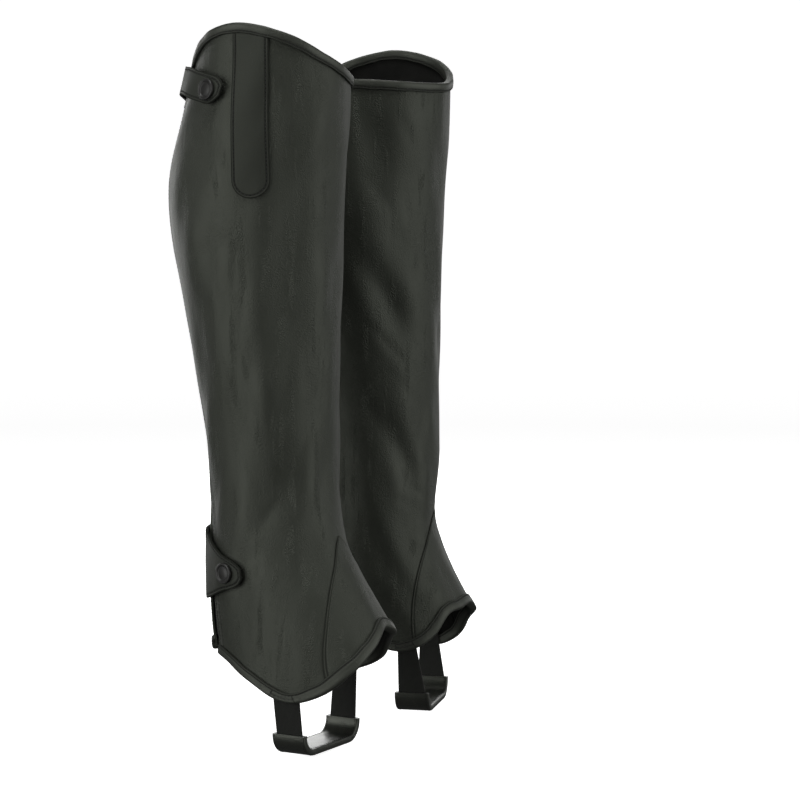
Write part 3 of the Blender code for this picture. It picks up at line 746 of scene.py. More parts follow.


# Lines beside an edge that are paler, with a share above 0, or darker, with one below 0: how far inside the
# edge each lies, and how wide it is. Most of them are painted light and shade.
WearAndLight = namedtuple("WearAndLight", "at width share")
EDGE_WEAR_AND_LIGHT = (
    # Paler just inside the edge: partly rubbing, partly a painted highlight on the rounding.
    WearAndLight(1.2 * MM, 0.4 * MM, 0.7),
    # Darker along the cut edge itself.
    WearAndLight(0, 0.85 * MM, -1.5),
    # Painted shade in the groove of the stitch line.
    WearAndLight(SEW_IN, 0.55 * MM, -1.5),
)
BINDING_WEAR_AND_LIGHT = (
    # Painted highlight along the binding's fold, partly also rubbing.
    WearAndLight(5.2 * MM, 1.6 * MM, 0.8),
    # Painted shadow under the binding's lip.
    WearAndLight(0, 0.5 * MM, -1.0),
    # Painted shade in the groove of the stitch line.
    WearAndLight(BINDING_SEW_IN, 0.5 * MM, -1.5),
)
PLUMP_RISE = 0.22 * MM
PLUMP_REACH = 1.1 * MM
SEWN_DEPTH = 0.34 * MM


def wear_and_light_lines(distance, lines):
    return sum(line.share * groove(distance, line.at, line.width) for line in lines)


def sewn_profile(distance):
    """How far a laid piece stands proud at this distance from its edge: thin at the edge and pulled down by
    its stitches."""
    plump = PLUMP_RISE * (1 - np.exp(-distance / PLUMP_REACH))
    return plump - SEWN_DEPTH * groove(distance, SEW_IN)


SEWN_MARKS = np.array([0, 0.6, 1.2, 1.7, 2.1, 2.5, 3.1, 4.0]) * MM
ZIP_EDGE_MARKS = np.array([0, 0.7, 1.4, 1.9, 2.4, 3.4, 4.8, 5.6, 6.0, 6.4, 7.2, 8.6]) * MM
ZIP_SEW_IN = (1.9 * MM, 6.0 * MM)
ZIP_SEWN_DEPTH = 0.2 * MM
# Painted shade in the grooves of the zip's two stitch lines.
ZIP_STITCH_SHADE = tuple(WearAndLight(at, 0.4 * MM, -0.8) for at in ZIP_SEW_IN)

# Beside the zip the leather is turned in, so it is thicker as far as TURNED_EDGE, and paler near its edge,
# partly from rubbing and partly a painted highlight on the turn. At the notch it dips under the gusset's
# edge, and the shade under that edge is painted on it as a dark band.
TURNED_EDGE = 7.2 * MM
TURNED_RISE = 0.35 * MM
TURNED_SLOPE = 1.6 * MM
WEAR_AND_HIGHLIGHT_REACH = 1.2 * MM
NOTCH_PEAK_SLOPE = 6 * MM
NOTCH_DIP = 0.45 * MM
NOTCH_DIP_REACH = 1.4 * MM
NOTCH_PAINTED_SHADE = 1.4
NOTCH_PAINTED_SHADE_REACH = 1.0 * MM


def panel_spots(chap, side):
    """Degrees round and height of one half of the panel, rows from the hem to the notch's peak and then on to
    the top edge, columns from the zip to the notch or the front."""
    up = shares(LOWER_ROWS)[:, None]
    seam = chap.seam(side, up)[0]
    zip_foot = panel_edge(chap.hem_height(ZIP_AROUND_ANKLE), side)
    beside = mix(chap.hem_height(zip_foot), NOTCH_PEAK, up)
    widths = np.abs(seam - panel_edge(beside, side)) / degrees_for(1.0, beside)
    share = marked_shares(widths, PANEL_COLUMNS, ZIP_EDGE_MARKS, SEWN_MARKS)
    low_height = mix(chap.hem_height(mix(zip_foot, notch_foot(side), share)), NOTCH_PEAK, up)
    low_around = mix(panel_edge(low_height, side), seam, share)
    up = shares(UPPER_ROWS)[1:, None]
    zip_head = panel_edge(rim_height(ZIP_AROUND_CALF), side)
    beside = mix(NOTCH_PEAK, rim_height(zip_head), up)
    widths = np.abs(FRONT - panel_edge(beside, side)) / degrees_for(1.0, beside)
    share = marked_shares(widths, PANEL_COLUMNS, ZIP_EDGE_MARKS, SEWN_MARKS)
    high_height = mix(NOTCH_PEAK, rim_height(mix(zip_head, FRONT, share)), up)
    high_around = mix(panel_edge(high_height, side), FRONT, share)
    return np.concatenate([low_around, high_around]), np.concatenate([low_height, high_height])


def body_panel(chap, looks):
    points, faces, flat, wear_and_painted_light = [], [], [], []
    first = 0
    for side in (1, -1):
        around, height = panel_spots(chap, side)
        from_zip = np.abs(around - panel_edge(height, side)) / degrees_for(1.0, height)
        from_end = np.abs(around[:, -1:] - around) / degrees_for(1.0, height)
        below_peak = ease((NOTCH_PEAK - height) / NOTCH_PEAK_SLOPE)
        out = TURNED_RISE * (1 - ease((from_zip - TURNED_EDGE) / TURNED_SLOPE))
        out = out - ZIP_SEWN_DEPTH * sum(groove(from_zip, at) for at in ZIP_SEW_IN)
        out = out - NOTCH_DIP * below_peak * np.exp(-from_end / NOTCH_DIP_REACH)
        # Paler by the zip's edge from rubbing and a painted highlight, painted shade in the zip's stitch
        # grooves, and painted shade where the panel dips under the gusset's edge.
        wear_and_light_marks = np.exp(-from_zip / WEAR_AND_HIGHLIGHT_REACH) + wear_and_light_lines(from_zip, ZIP_STITCH_SHADE)
        wear_and_light_marks = wear_and_light_marks - NOTCH_PAINTED_SHADE * below_peak * np.exp(-from_end / NOTCH_PAINTED_SHADE_REACH)
        rows, columns = around.shape
        points.append(chap.point(around, height, out).reshape(-1, 3))
        flat.append(flat_place(around, height).reshape(-1, 2))
        wear_and_painted_light.append(wear_and_light_marks.ravel())
        faces.append(grid_faces(rows, columns, (chap.outwards > 0) == (side > 0), first))
        first += rows * columns
    piece = new_piece(
        f"{chap.name}_body_leather",
        np.concatenate(points),
        np.concatenate(faces),
        looks,
        np.concatenate(flat),
        np.concatenate(wear_and_painted_light),
    )
    merge_points(piece)
    thicken(piece, bpy.context.scene.chap_sizes.leather_wall, inner_look=1)
    smooth(piece)
    settle(chap, piece, "body_panel")


TIP_SLOPE = 1.2


def instep_gusset(chap, looks):
    up = shares(GUSSET_ROWS)[:, None]
    outer, height = chap.seam(1, up, -SEAM_LAP)
    inner = chap.seam(-1, up, -SEAM_LAP)[0]
    widths = (inner - outer) / degrees_for(1.0, height)
    share = marked_shares(widths, GUSSET_COLUMNS, SEWN_MARKS, SEWN_MARKS)
    around = mix(outer, inner, share)
    foot = chap.hem_height(mix(notch_foot(1), notch_foot(-1), share))
    height = mix(foot, NOTCH_PEAK, up)
    from_seam = np.minimum(around - outer, inner - around) / degrees_for(1.0, height)
    from_seam = np.minimum(from_seam, TIP_SLOPE * (NOTCH_PEAK - height))
    out = GUSSET_PROUD - GUSSET_LOWER + sewn_profile(from_seam)
    rows, columns = around.shape
    piece = new_piece(
        f"{chap.name}_instep_leather",
        chap.point(around, height, out),
        grid_faces(rows, columns, chap.outwards > 0),
        looks,
        flat_place(around, height),
        wear_and_light_lines(from_seam, EDGE_WEAR_AND_LIGHT),
    )
    merge_points(piece, 0.05 * MM)
    thicken(piece, GUSSET_WALL - GUSSET_THINNER, inner_look=1)
    smooth(piece)
    settle(chap, piece, "instep_gusset")


def edge_spot(around, edge_line, inwards, depth):
    """The spot that lies this deep inside an edge, square to it along the leather. "inwards" is 1 where the
    leather lies above the edge, and -1 where it lies below."""
    height = edge_line(around)
    rise = edge_line(around + 1) - edge_line(around - 1)
    run = 2 / degrees_for(1.0, height)
    length = np.hypot(rise, run)
    aside = -inwards * depth * rise / length
    return around + degrees_for(aside, height), height + inwards * depth * run / length


LEAF_DEPTHS = BINDING_DEPTH * np.array([1, 0.985, 0.95, 0.88, 0.81, 0.74, 0.67, 0.6, 0.48, 0.34, 0.18, 0.04])
CROWN_SPAN = 0.75
LIP_DROP = 0.4 * MM
LIP_REACH = 0.25 * MM
LIP_LEAN = 0.3 * MM
BINDING_SEWN_DEPTH = 0.42 * MM
FOLD_POWER = 0.8


def binding_skins(stand, crown):
    """Depths and distances out of a binding's outer and inner skins, from the lip of its outer leaf round the
    fold to the lip of its inner one."""
    wall = bpy.context.scene.chap_sizes.leather_wall
    outer_face = stand + BINDING_WALL
    inner_face = -wall - BINDING_GAP
    middle = (outer_face + inner_face - BINDING_WALL) / 2
    half = (outer_face - inner_face + BINDING_WALL) / 2
    across = shares(FOLD_STEPS)[1:-1]
    turn = np.pi * across
    bulge = crown * np.sin(np.pi * (1 - LEAF_DEPTHS / BINDING_DEPTH) * CROWN_SPAN)
    lip = LIP_DROP * np.exp(-(BINDING_DEPTH - LEAF_DEPTHS) / LIP_REACH)
    sewn = BINDING_SEWN_DEPTH * groove(BINDING_DEPTH - LEAF_DEPTHS, BINDING_SEW_IN)
    leaf = bulge - lip - sewn
    round_depth = (BINDING_GAP + BINDING_WALL) * np.sin(turn) ** FOLD_POWER
    round_out = middle + (half + bulge[-1]) * np.sign(np.cos(turn)) * np.abs(np.cos(turn)) ** FOLD_POWER
    outer = np.stack(
        [
            np.concatenate([LEAF_DEPTHS, -round_depth, LEAF_DEPTHS[::-1]]),
            np.concatenate([outer_face + leaf, round_out, inner_face - BINDING_WALL - leaf[::-1]]),
        ]
    )
    inner = np.stack(
        [
            np.concatenate([LEAF_DEPTHS, np.full(len(turn), -BINDING_GAP), LEAF_DEPTHS[::-1]]),
            np.concatenate(
                [
                    stand - LIP_LEAN * (LEAF_DEPTHS / BINDING_DEPTH) ** 4,
                    mix(stand, inner_face, across),
                    np.full(len(LEAF_DEPTHS), inner_face),
                ]
            ),
        ]
    )
    return outer, inner


def lap_rise(chap, arounds, height):
    """How far the binding's end stands up where it laps over its beginning."""
    past = (arounds - chap.lap_around) / degrees_for(1.0, height)
    return LAP_RISE * (past > 0) * (1 - ease((past - LAP_LENGTH * LAP_LEVEL) / (LAP_LENGTH * LAP_SLOPE)))


# Unevenness along a binding: how often it repeats round the chap, degrees of phase, and size.
Ripple = namedtuple("Ripple", "round phase size")
SWAY = (Ripple(17, 0, 0.12 * MM), Ripple(29, 60, 0.1 * MM))
PLUMPNESS = (Ripple(23, 0, 0.1 * MM),)


def rippled(arounds, ripples):
    return sum(ripple.size * np.sin(np.radians(arounds * ripple.round + ripple.phase)) for ripple in ripples)


def binding(chap, node, edge_line, ends, inwards, stand, looks, lapped):
    arounds = mix(*ends, shares(BINDING_STEPS))
    if lapped:
        arounds = np.sort(np.concatenate([arounds, [chap.lap_around, chap.lap_around + LAP_EDGE]]))
    else:
        arounds = np.sort(np.concatenate([arounds, *[box_sides(chap, side) for side in (1, -1)]]))
    crown = bpy.context.scene.chap_sizes.binding_crown
    skins = binding_skins(stand, crown)
    sway = rippled(arounds, SWAY)
    rings = []
    for number, (depth, out) in enumerate(skins):
        depth = depth[None, :] * (1 + sway[:, None] / BINDING_DEPTH)
        out = np.broadcast_to(out[None, :], depth.shape).copy()
        if number == 0 and lapped:
            rise = lap_rise(chap, arounds, edge_line(arounds))[:, None]
            out += rise * np.clip((out - stand) / BINDING_WALL, -1, 1)
        if number == 0:
            plump = rippled(arounds, PLUMPNESS)[:, None] * np.clip(1 - depth / BINDING_DEPTH, 0, 1)
            out += plump * np.sign(out)
        around, height = edge_spot(arounds[:, None], edge_line, inwards, depth)
        rings.append(chap.point(around, height, out))
    around_ring = np.concatenate([rings[0], rings[1][:, ::-1]], axis=1)
    rows, columns = around_ring.shape[:2]
    corner = np.arange(rows - 1)[:, None] * columns + np.arange(columns)[None, :]
    following = np.arange(rows - 1)[:, None] * columns + (np.arange(columns)[None, :] + 1) % columns
    sides = np.stack([corner, following, following + columns, corner + columns], axis=-1).reshape(-1, 4)
    pair = np.arange(columns // 2 - 1)
    cap = np.stack([pair, columns - 1 - pair, columns - 2 - pair, pair + 1], axis=-1)
    faces = np.concatenate([sides, cap, cap[:, ::-1] + (rows - 1) * columns])
    lengths = lengths_along(rings[0][:, len(LEAF_DEPTHS)])
    across = lengths_along(rings[0][0])
    across = np.concatenate([across, across[::-1]])
    flat = np.stack(np.broadcast_arrays(across[None, :], lengths[:, None]), axis=-1)
    from_lip = np.minimum(across, across.max() - across)
    # Painted highlight along the fold, painted shadow under the lip and painted shade in the stitch groove.
    wear_and_light_marks = np.broadcast_to(wear_and_light_lines(from_lip, BINDING_WEAR_AND_LIGHT)[None, :], around_ring.shape[:2]).copy()
    # The strap's box of stitches adds painted shade along its lines.
    if not lapped:
        sides, within = box_stitch_shade(chap, arounds)
        wear_and_light_marks -= sides[:, None] * (from_lip > BINDING_SEW_IN)[None, :]
        wear_and_light_marks -= BOX_STITCH_SHADE * within[:, None] * groove(from_lip, BINDING_DEPTH - BOX_LOW)[None, :]
    piece = new_piece(
        f"{chap.name}_{node.replace('binding', 'bound_edge')}",
        around_ring,
        faces,
        looks,
        flat,
        wear_and_light_marks,
    )
    face_outwards(piece)
    smooth(piece, 60)
    settle(chap, piece, node)


# Degrees round the hem, either way from its outside or inside, that the strap's box lies within, and the
# steps in which its sides are looked for.
BOX_WITHIN = 45
BOX_LOOK_STEP = 0.25
BOX_NEAR = 1.1 * MM
# Painted shade along the box's stitch lines, and how wide each line of it is.
BOX_STITCH_SHADE = 1.3
BOX_STITCH_SHADE_WIDTH = 0.6 * MM
FAR_AWAY = 1.0


def box_forward(chap, side, arounds):
    """How far forward of the strap's middle places on the hem lie, at one side."""
    mirrored = arounds if side > 0 else FULL_TURN - arounds
    height = chap.hem_height(arounds)
    ahead = -np.cos(np.radians(mirrored)) * section_value("front", height)
    beside = np.abs(mirrored - OUTSIDE) < BOX_WITHIN
    return np.where(beside, section_value("centre", height) + ahead - STRAP_FORWARD, FAR_AWAY)


def box_sides(chap, side):
    """Degrees round the hem close to the two sides of the strap's box of stitches, for more detail there."""
    middle = FRONT - side * OUTSIDE
    found = np.arange(middle - BOX_WITHIN, middle + BOX_WITHIN, BOX_LOOK_STEP)
    forward = np.abs(box_forward(chap, side, found))
    return found[np.abs(forward - BOX_HALF_WIDTH) < BOX_NEAR]


def box_stitch_shade(chap, arounds):
    """How much painted shade the box's side stitch lines put on the hem binding, and 1 between its two sides.
    """
    forward = [np.abs(box_forward(chap, side, arounds)) for side in (1, -1)]
    sides = BOX_STITCH_SHADE * sum(groove(distance, BOX_HALF_WIDTH, BOX_STITCH_SHADE_WIDTH) for distance in forward)
    return sides, (np.minimum(*forward) < BOX_HALF_WIDTH).astype(float)


def face_outwards(piece):
    """Turns a closed piece's faces out, by the sign of its volume."""
    bm = bmesh.new()
    bm.from_mesh(piece.data)
    if bm.calc_volume(signed=True) < 0:
        bmesh.ops.reverse_faces(bm, faces=bm.faces)
    bm.to_mesh(piece.data)
    bm.free()


def top_ends():
    return [panel_edge(rim_height(ZIP_AROUND_CALF), side) for side in (1, -1)]


def hem_ends(chap):
    return [panel_edge(chap.hem_height(ZIP_AROUND_ANKLE), side) for side in (1, -1)]


def patch_form(chap):
    """Half the patch's width, the height at which its middle starts, and that from which its end is round."""
    half = PATCH_WIDTH / 2
    middle = chap.around_at(PATCH_FORWARD, rim_height(OUTSIDE))
    top = rim_height(middle) - BINDING_DEPTH - LAID_GAP
    return half, top, top - PATCH_LENGTH + half


PATCH_END_ANGLE = 89


def side_patch(chap, looks):
    half, middle_top, round_from = patch_form(chap)
    level = shares(PATCH_ROWS)[:-1, None]
    share = marked_shares([2 * half], PATCH_COLUMNS, SEWN_MARKS, SEWN_MARKS)
    x = half * (2 * share - 1)
    top = rim_height(chap.around_at(PATCH_FORWARD + x, middle_top)) - BINDING_DEPTH - 2 * LAID_GAP
    height = mix(top, round_from, level)
    x = np.broadcast_to(x, height.shape)
    angle = np.radians(PATCH_END_ANGLE * shares(PATCH_END_ROWS))[:, None]
    end_half = half * np.cos(angle)
    end_share = marked_shares(2 * end_half, PATCH_COLUMNS, SEWN_MARKS, SEWN_MARKS)
    end_x = end_half * (2 * end_share - 1)
    end_height = np.broadcast_to(round_from - half * np.sin(angle), end_x.shape)
    x, height = np.concatenate([x, end_x]), np.concatenate([height, end_height])
    below = np.maximum(round_from - height, 0)
    from_edge = np.maximum(half - np.hypot(x, below), 0)
    around = chap.around_at(PATCH_FORWARD + x, height)
    out = LAID_GAP + PATCH_WALL + sewn_profile(from_edge)
    rows, columns = x.shape
    piece = new_piece(
        f"{chap.name}_outer_patch",
        chap.point(around, height, out),
        grid_faces(rows, columns, chap.outwards < 0),
        looks,
        np.stack([x, height], axis=-1),
        wear_and_light_lines(from_edge, EDGE_WEAR_AND_LIGHT),
    )
    merge_points(piece, 0.02 * MM)
    thicken(piece, PATCH_WALL, PATCH_ROUNDING)
    smooth(piece)
    settle(chap, piece, "side_patch")


def tab_size(sections, name, along):
    return curve_through([(part.along * MM, getattr(part, name) * MM) for part in sections], along)


def tab_outline(sections):
    """The tab's closed outline against the clock, as (along, height)."""
    ends = sections[0].along * MM, sections[-1].along * MM
    along = mix(*ends, (1 - np.cos(np.pi * shares(TAB_OUTLINE_STEPS))) / 2)
    low = np.stack([along, tab_size(sections, "low", along)], axis=1)
    high = np.stack([along, tab_size(sections, "high", along)], axis=1)
    return np.concatenate([low, high[::-1]])


def tab(chap, node, sections, looks):
    start, end = sections[0].along * MM, sections[-1].along * MM
    along = mix(start, end, marked_shares([end - start], TAB_ROWS, SEWN_MARKS, SEWN_MARKS)[0])[:, None]
    low, high = tab_size(sections, "low", along), tab_size(sections, "high", along)
    share = marked_shares(high - low, TAB_COLUMNS, SEWN_MARKS, SEWN_MARKS)
    height = mix(low, high, share)
    along = np.broadcast_to(along, height.shape)
    from_edge = distance_to(tab_outline(sections), along, height)
    out = tab_size(sections, "lift", along) + TAB_WALL + sewn_profile(from_edge)
    rows, columns = height.shape
    piece = new_piece(
        f"{chap.name}_{node.replace('tab', 'snap_tab')}",
        chap.point(zip_around(height, along), height, out),
        grid_faces(rows, columns, chap.outwards < 0),
        looks,
        np.stack([along, height], axis=-1),
        wear_and_light_lines(from_edge, EDGE_WEAR_AND_LIGHT),
    )
    thicken(piece, TAB_WALL, TAB_ROUNDING)
    smooth(piece)
    settle(chap, piece, node)


TAPE_COLUMNS = 10
TEETH_APART = 1.15 * MM
TOOTH_SIZE = (2.7 * MM, 0.85 * MM, 1.5 * MM)


def zip_tape(chap, side, node, looks):
    low = chap.hem_height(ZIP_AROUND_ANKLE) + ZIP_END_CLEAR
    high = rim_height(ZIP_AROUND_CALF) - ZIP_END_CLEAR
    height = mix(low, high, shares(TAPE_ROWS))[:, None]
    reach = ZIP_OPENING / 2 + TAPE_UNDER_PANEL
    along = side * mix(TAPE_FROM_CENTRE, reach, shares(TAPE_COLUMNS))[None, :]
    height, along = np.broadcast_arrays(height, along)
    out = -bpy.context.scene.chap_sizes.leather_wall - TAPE_GAP
    piece = new_piece(
        f"{chap.name}_tape_{node.split('_')[-1]}",
        chap.point(zip_around(height, along), height, out),
        grid_faces(*height.shape, (chap.outwards > 0) == (side > 0)),
        looks,
        np.stack([along, height], axis=-1),
    )
    thicken(piece, TAPE_WALL, 0)
    smooth(piece)
    settle(chap, piece, node)


def chain_face():
    """How far out the zip's teeth reach: they are centred on the tapes."""
    return -bpy.context.scene.chap_sizes.leather_wall - TAPE_GAP - TAPE_WALL / 2 + CHAIN_WALL / 2


def scatter(template, points, across, along, out):
    """The points and faces of copies of a small mesh, at these places and turned to these directions."""
    mesh = template.data
    shape = np.zeros(len(mesh.vertices) * 3)
    mesh.vertices.foreach_get("co", shape)
    shape = shape.reshape(-1, 3)
    turned = np.stack([across, along, out], axis=1)
    copies = points[:, None, :] + np.einsum("vk,nkc->nvc", shape, turned)
    corners = [tuple(face.vertices) for face in mesh.polygons]
    faces = []
    for first in range(0, len(points) * len(shape), len(shape)):
        faces += [[first + corner for corner in face] for face in corners]
    bpy.data.objects.remove(template)
    return copies.reshape(-1, 3), faces


def primitive(add, **settings):
    """Adds one of Blender's primitives, with nothing else selected."""
    select_only()
    add(**settings)
    return bpy.context.object


def edit_faces(piece, chosen):
    """Opens a piece for editing with only the chosen faces selected."""
    select_only(piece)
    bpy.ops.object.mode_set(mode="EDIT")
    bpy.ops.mesh.select_mode(type="FACE")
    bpy.ops.mesh.select_all(action="DESELECT")
    bpy.ops.object.mode_set(mode="OBJECT")
    for face in piece.data.polygons:
        face.select = chosen(face)
    bpy.ops.object.mode_set(mode="EDIT")


def round_off(piece, width, segments=2, angle=40):
    add_rounding(piece, width, segments, angle)
    apply_modifiers(piece)


def block(size, centre=(0, 0, 0)):
    piece = primitive(bpy.ops.mesh.primitive_cube_add, size=1, location=centre)
    piece.scale = size
    bpy.ops.object.transform_apply(location=True, rotation=False, scale=True)
    return piece


def joined(pieces, name):
    select_only(*pieces)
    bpy.ops.object.join()
    pieces[0].name = name
    pieces[0].data.name = name
    return pieces[0]


def zip_teeth(chap, looks):
    tooth = block(TOOTH_SIZE)
    round_off(tooth, 0.28 * MM, 1)
    pitch = bpy.context.scene.chap_sizes.tooth_pitch
    low = chap.hem_height(ZIP_AROUND_ANKLE) + ZIP_END_CLEAR
    high = rim_height(ZIP_AROUND_CALF) - CHAIN_TOP_CLEAR
    height = np.arange(low + pitch / 2, high, pitch / 2)
    along = TEETH_APART * np.where(np.arange(len(height)) % 2, 1, -1)
    out = chain_face() - CHAIN_WALL / 2
    points, faces = scatter(tooth, *chap.frames(zip_around(height, along), height, out))
    piece = new_piece(f"{chap.name}_teeth", points, faces, looks)
    smooth(piece)
    settle(chap, piece, "zip_chain")


def place_piece(chap, piece, name, around, height, out, look):
    """Moves a piece modelled at the origin, X across, Y up and Z out, to its spot on the leather."""
    point, across, up, normal = [values.reshape(3) for values in chap.frames(around, height, out)]
    turned = Matrix(np.stack([across, up, normal], axis=1).tolist()).to_4x4()
    piece.data.transform(Matrix.Translation(point.tolist()) @ turned)
    piece.data.materials.clear()
    piece.data.materials.append(look)
    piece.name = name
    piece.data.name = name
    smooth(piece)


SLIDER_FOOT_SHARE = 0.72
SLIDER_ROUNDING = 0.5 * MM
POST_SHARE = 0.3
POST_ROUNDING = 0.4 * MM
BRIDGE_RADIUS = 1.7 * MM
BRIDGE_WIRE = 0.42 * MM
FACING = 0.9


def slider(chap, look):
    """Two plates over and under the zip, joined by a post at its head, with a small bridge for the pull."""
    upper = LAID_GAP + SLIDER_PLATE / 2
    lower = -CHAIN_WALL - LAID_GAP - SLIDER_PLATE / 2
    plates = []
    for middle in (upper, lower):
        plate = block((SLIDER_WIDTH, SLIDER_LENGTH, SLIDER_PLATE), (0, 0, middle))
        edit_faces(plate, lambda face: face.normal.y < -FACING)
        bpy.ops.transform.resize(value=(SLIDER_FOOT_SHARE, 1, 1))
        bpy.ops.object.mode_set(mode="OBJECT")
        round_off(plate, SLIDER_ROUNDING, 3)
        plates.append(plate)
    post = block(
        (SLIDER_WIDTH * POST_SHARE, SLIDER_POST, upper - lower),
        (0, SLIDER_LENGTH / 2 - SLIDER_POST / 2, (upper + lower) / 2),
    )
    round_off(post, POST_ROUNDING)
    bridge = primitive(
        bpy.ops.mesh.primitive_torus_add,
        major_radius=BRIDGE_RADIUS,
        minor_radius=BRIDGE_WIRE,
        major_segments=24,
        minor_segments=10,
        location=(0, SLIDER_LENGTH / 2 - PULL_HEAD_CLEAR, LAID_GAP + SLIDER_PLATE),
        rotation=(0, math.pi / 2, 0),
    )
    piece = joined([*plates, post, bridge], f"{chap.name}_slider")
    bpy.ops.object.transform_apply()
    height = rim_height(ZIP_AROUND_CALF) - SLIDER_HEAD_BELOW_RIM - SLIDER_LENGTH / 2
    place_piece(chap, piece, f"{chap.name}_slider", zip_around(height), height, chain_face(), look)
    settle(chap, piece, "zip_slider")


TONGUE_SHORTER = 3.4 * MM
TONGUE_HEAD_SHARE = 0.6
TONGUE_RIM = 0.9 * MM
TONGUE_SLOPE = 0.3 * MM
TONGUE_SUNK = 0.25 * MM
TONGUE_ROUNDING = 0.22 * MM
RING_RADIUS = 1.8 * MM
RING_WIRE = 0.45 * MM
RING_BELOW_HEAD = 2.2 * MM


def pull(chap, look):
    """A flat tongue with a sunk face, hung on the slider by a ring."""
    tongue_length = PULL_LENGTH - TONGUE_SHORTER
    tongue = block((PULL_WIDTH, tongue_length, PULL_WALL), (0, -(PULL_LENGTH - tongue_length) / 2, 0))
    edit_faces(tongue, lambda face: face.normal.y > FACING)
    bpy.ops.transform.resize(value=(TONGUE_HEAD_SHARE, 1, 1))
    bpy.ops.object.mode_set(mode="OBJECT")
    edit_faces(tongue, lambda face: abs(face.normal.z) > FACING)
    bpy.ops.mesh.inset(thickness=TONGUE_RIM, use_individual=True)
    bpy.ops.mesh.inset(thickness=TONGUE_SLOPE, depth=-TONGUE_SUNK, use_individual=True)
    bpy.ops.object.mode_set(mode="OBJECT")
    round_off(tongue, TONGUE_ROUNDING)
    ring = primitive(
        bpy.ops.mesh.primitive_torus_add,
        major_radius=RING_RADIUS,
        minor_radius=RING_WIRE,
        major_segments=28,
        minor_segments=10,
        location=(0, PULL_LENGTH / 2 - RING_BELOW_HEAD, 0),
    )
    piece = joined([tongue, ring], f"{chap.name}_pull_tongue")
    bpy.ops.object.transform_apply()
    height = rim_height(ZIP_AROUND_CALF) - SLIDER_HEAD_BELOW_RIM - PULL_HEAD_CLEAR - PULL_LENGTH / 2
    out = chain_face() + 2 * LAID_GAP + SLIDER_PLATE + PULL_WALL / 2
    place_piece(chap, piece, f"{chap.name}_pull_tongue", zip_around(height), height, out, look)
    settle(chap, piece, "zip_pull")


# A button's rim, how far its face is sunk, and how far its centre rises again. The steps of that rise are
# shares of the radius inside the rim and of the rise. The rounding is a share of the rim or the height.
ButtonFace = namedtuple("ButtonFace", "rim sunk rise")
STUD_FACE = ButtonFace(1.2 * MM, 0.4 * MM, 0.2 * MM)
CAP_FACE = ButtonFace(1.7 * MM, 0.9 * MM, 0.55 * MM)
RiseStep = namedtuple("RiseStep", "radius rise")
RISE_STEPS = (RiseStep(0.35, 0.7), RiseStep(0.3, 0.3))
BUTTON_SIDES = 48
BUTTON_SLOPE = 0.5 * MM
BUTTON_ROUNDING_SHARE = 0.32


def button(radius, height, face):
    """A round metal button with a rolled rim and a sunk face, lying on z = 0."""
    piece = primitive(
        bpy.ops.mesh.primitive_cylinder_add,
        vertices=BUTTON_SIDES,
        radius=radius,
        depth=height,
        location=(0, 0, height / 2),
    )
    bpy.ops.object.transform_apply()
    edit_faces(piece, lambda polygon: polygon.normal.z > FACING)
    bpy.ops.mesh.inset(thickness=face.rim)
    bpy.ops.mesh.inset(thickness=BUTTON_SLOPE, depth=-face.sunk)
    for step in RISE_STEPS:
        bpy.ops.mesh.inset(thickness=(radius - face.rim) * step.radius, depth=face.rise * step.rise)
    bpy.ops.object.mode_set(mode="OBJECT")
    round_off(piece, min(face.rim, height) * BUTTON_ROUNDING_SHARE, 4, 35)
    return piece


def snap(chap, name, centre, look):
    """A cap on the tab and, under the tab, the stud that it closes on."""
    height, lift = centre.low * MM, centre.lift * MM
    around = zip_around(height, centre.along * MM)
    stud = button(STUD_RADIUS, lift - 2 * LAID_GAP, STUD_FACE)
    place_piece(chap, stud, f"{chap.name}_{name}_stud_button", around, height, LAID_GAP, look)
    settle(chap, stud, f"{name}_stud")
    cap = button(CAP_RADIUS, CAP_HEIGHT, CAP_FACE)
    out = lift + TAB_WALL + LAID_GAP
    place_piece(chap, cap, f"{chap.name}_{name}_cap_button", around, height, out, look)
    settle(chap, cap, f"{name}_cap")


def through_rows(rows, count):
    """Rows of points evenly spaced on a smooth path through the given ones, and how far along each lies."""
    rows = np.asarray(rows, float)
    lengths = lengths_along(rows.mean(axis=1))
    at = mix(0, lengths[-1], shares(count))
    values = [curve_through(list(zip(lengths, line)), at) for line in rows.reshape(len(rows), -1).T]
    return np.stack(values, axis=1).reshape(count + 1, *rows.shape[1:]), at


FLAT_SHARES = (0.2, 0.4)


def foot_line():
    """The middle of the strap's loop as (sideways, up), outside first, and its directions out of the loop."""
    line, away = [(STRAP_HALF_FOOT, GUARD_TOP)], [(1, 0)]
    for share in shares(CORNER_STEPS):
        turn = math.pi / 2 * share
        away.append((math.cos(turn), -math.sin(turn)))
        line.append(
            (
                STRAP_HALF_FOOT - STRAP_CORNER + STRAP_CORNER * math.cos(turn),
                STRAP_LOW + STRAP_CORNER - STRAP_CORNER * math.sin(turn),
            )
        )
    for share in FLAT_SHARES:
        line.append((mix(STRAP_HALF_FOOT - STRAP_CORNER, STRAP_CORNER - STRAP_HALF_FOOT, share), STRAP_LOW))
        away.append((0, -1))
    line += [(-sideways, up) for sideways, up in reversed(line)]
    away += [(-sideways, up) for sideways, up in reversed(away)]
    return np.array(line), np.array(away)


def foot_points(chap, forward, gap):
    """Points along the strap's loop, each moved this far out of the loop from the strap's middle."""
    line, away = foot_line()
    moved = line[:, None, :] + away[:, None, :] * np.asarray(gap, float)[None, :, None]
    forward = np.broadcast_to(np.asarray(forward, float)[None, :], moved.shape[:2])
    return chap.placed(np.stack([moved[..., 0], forward, moved[..., 1]], axis=-1))


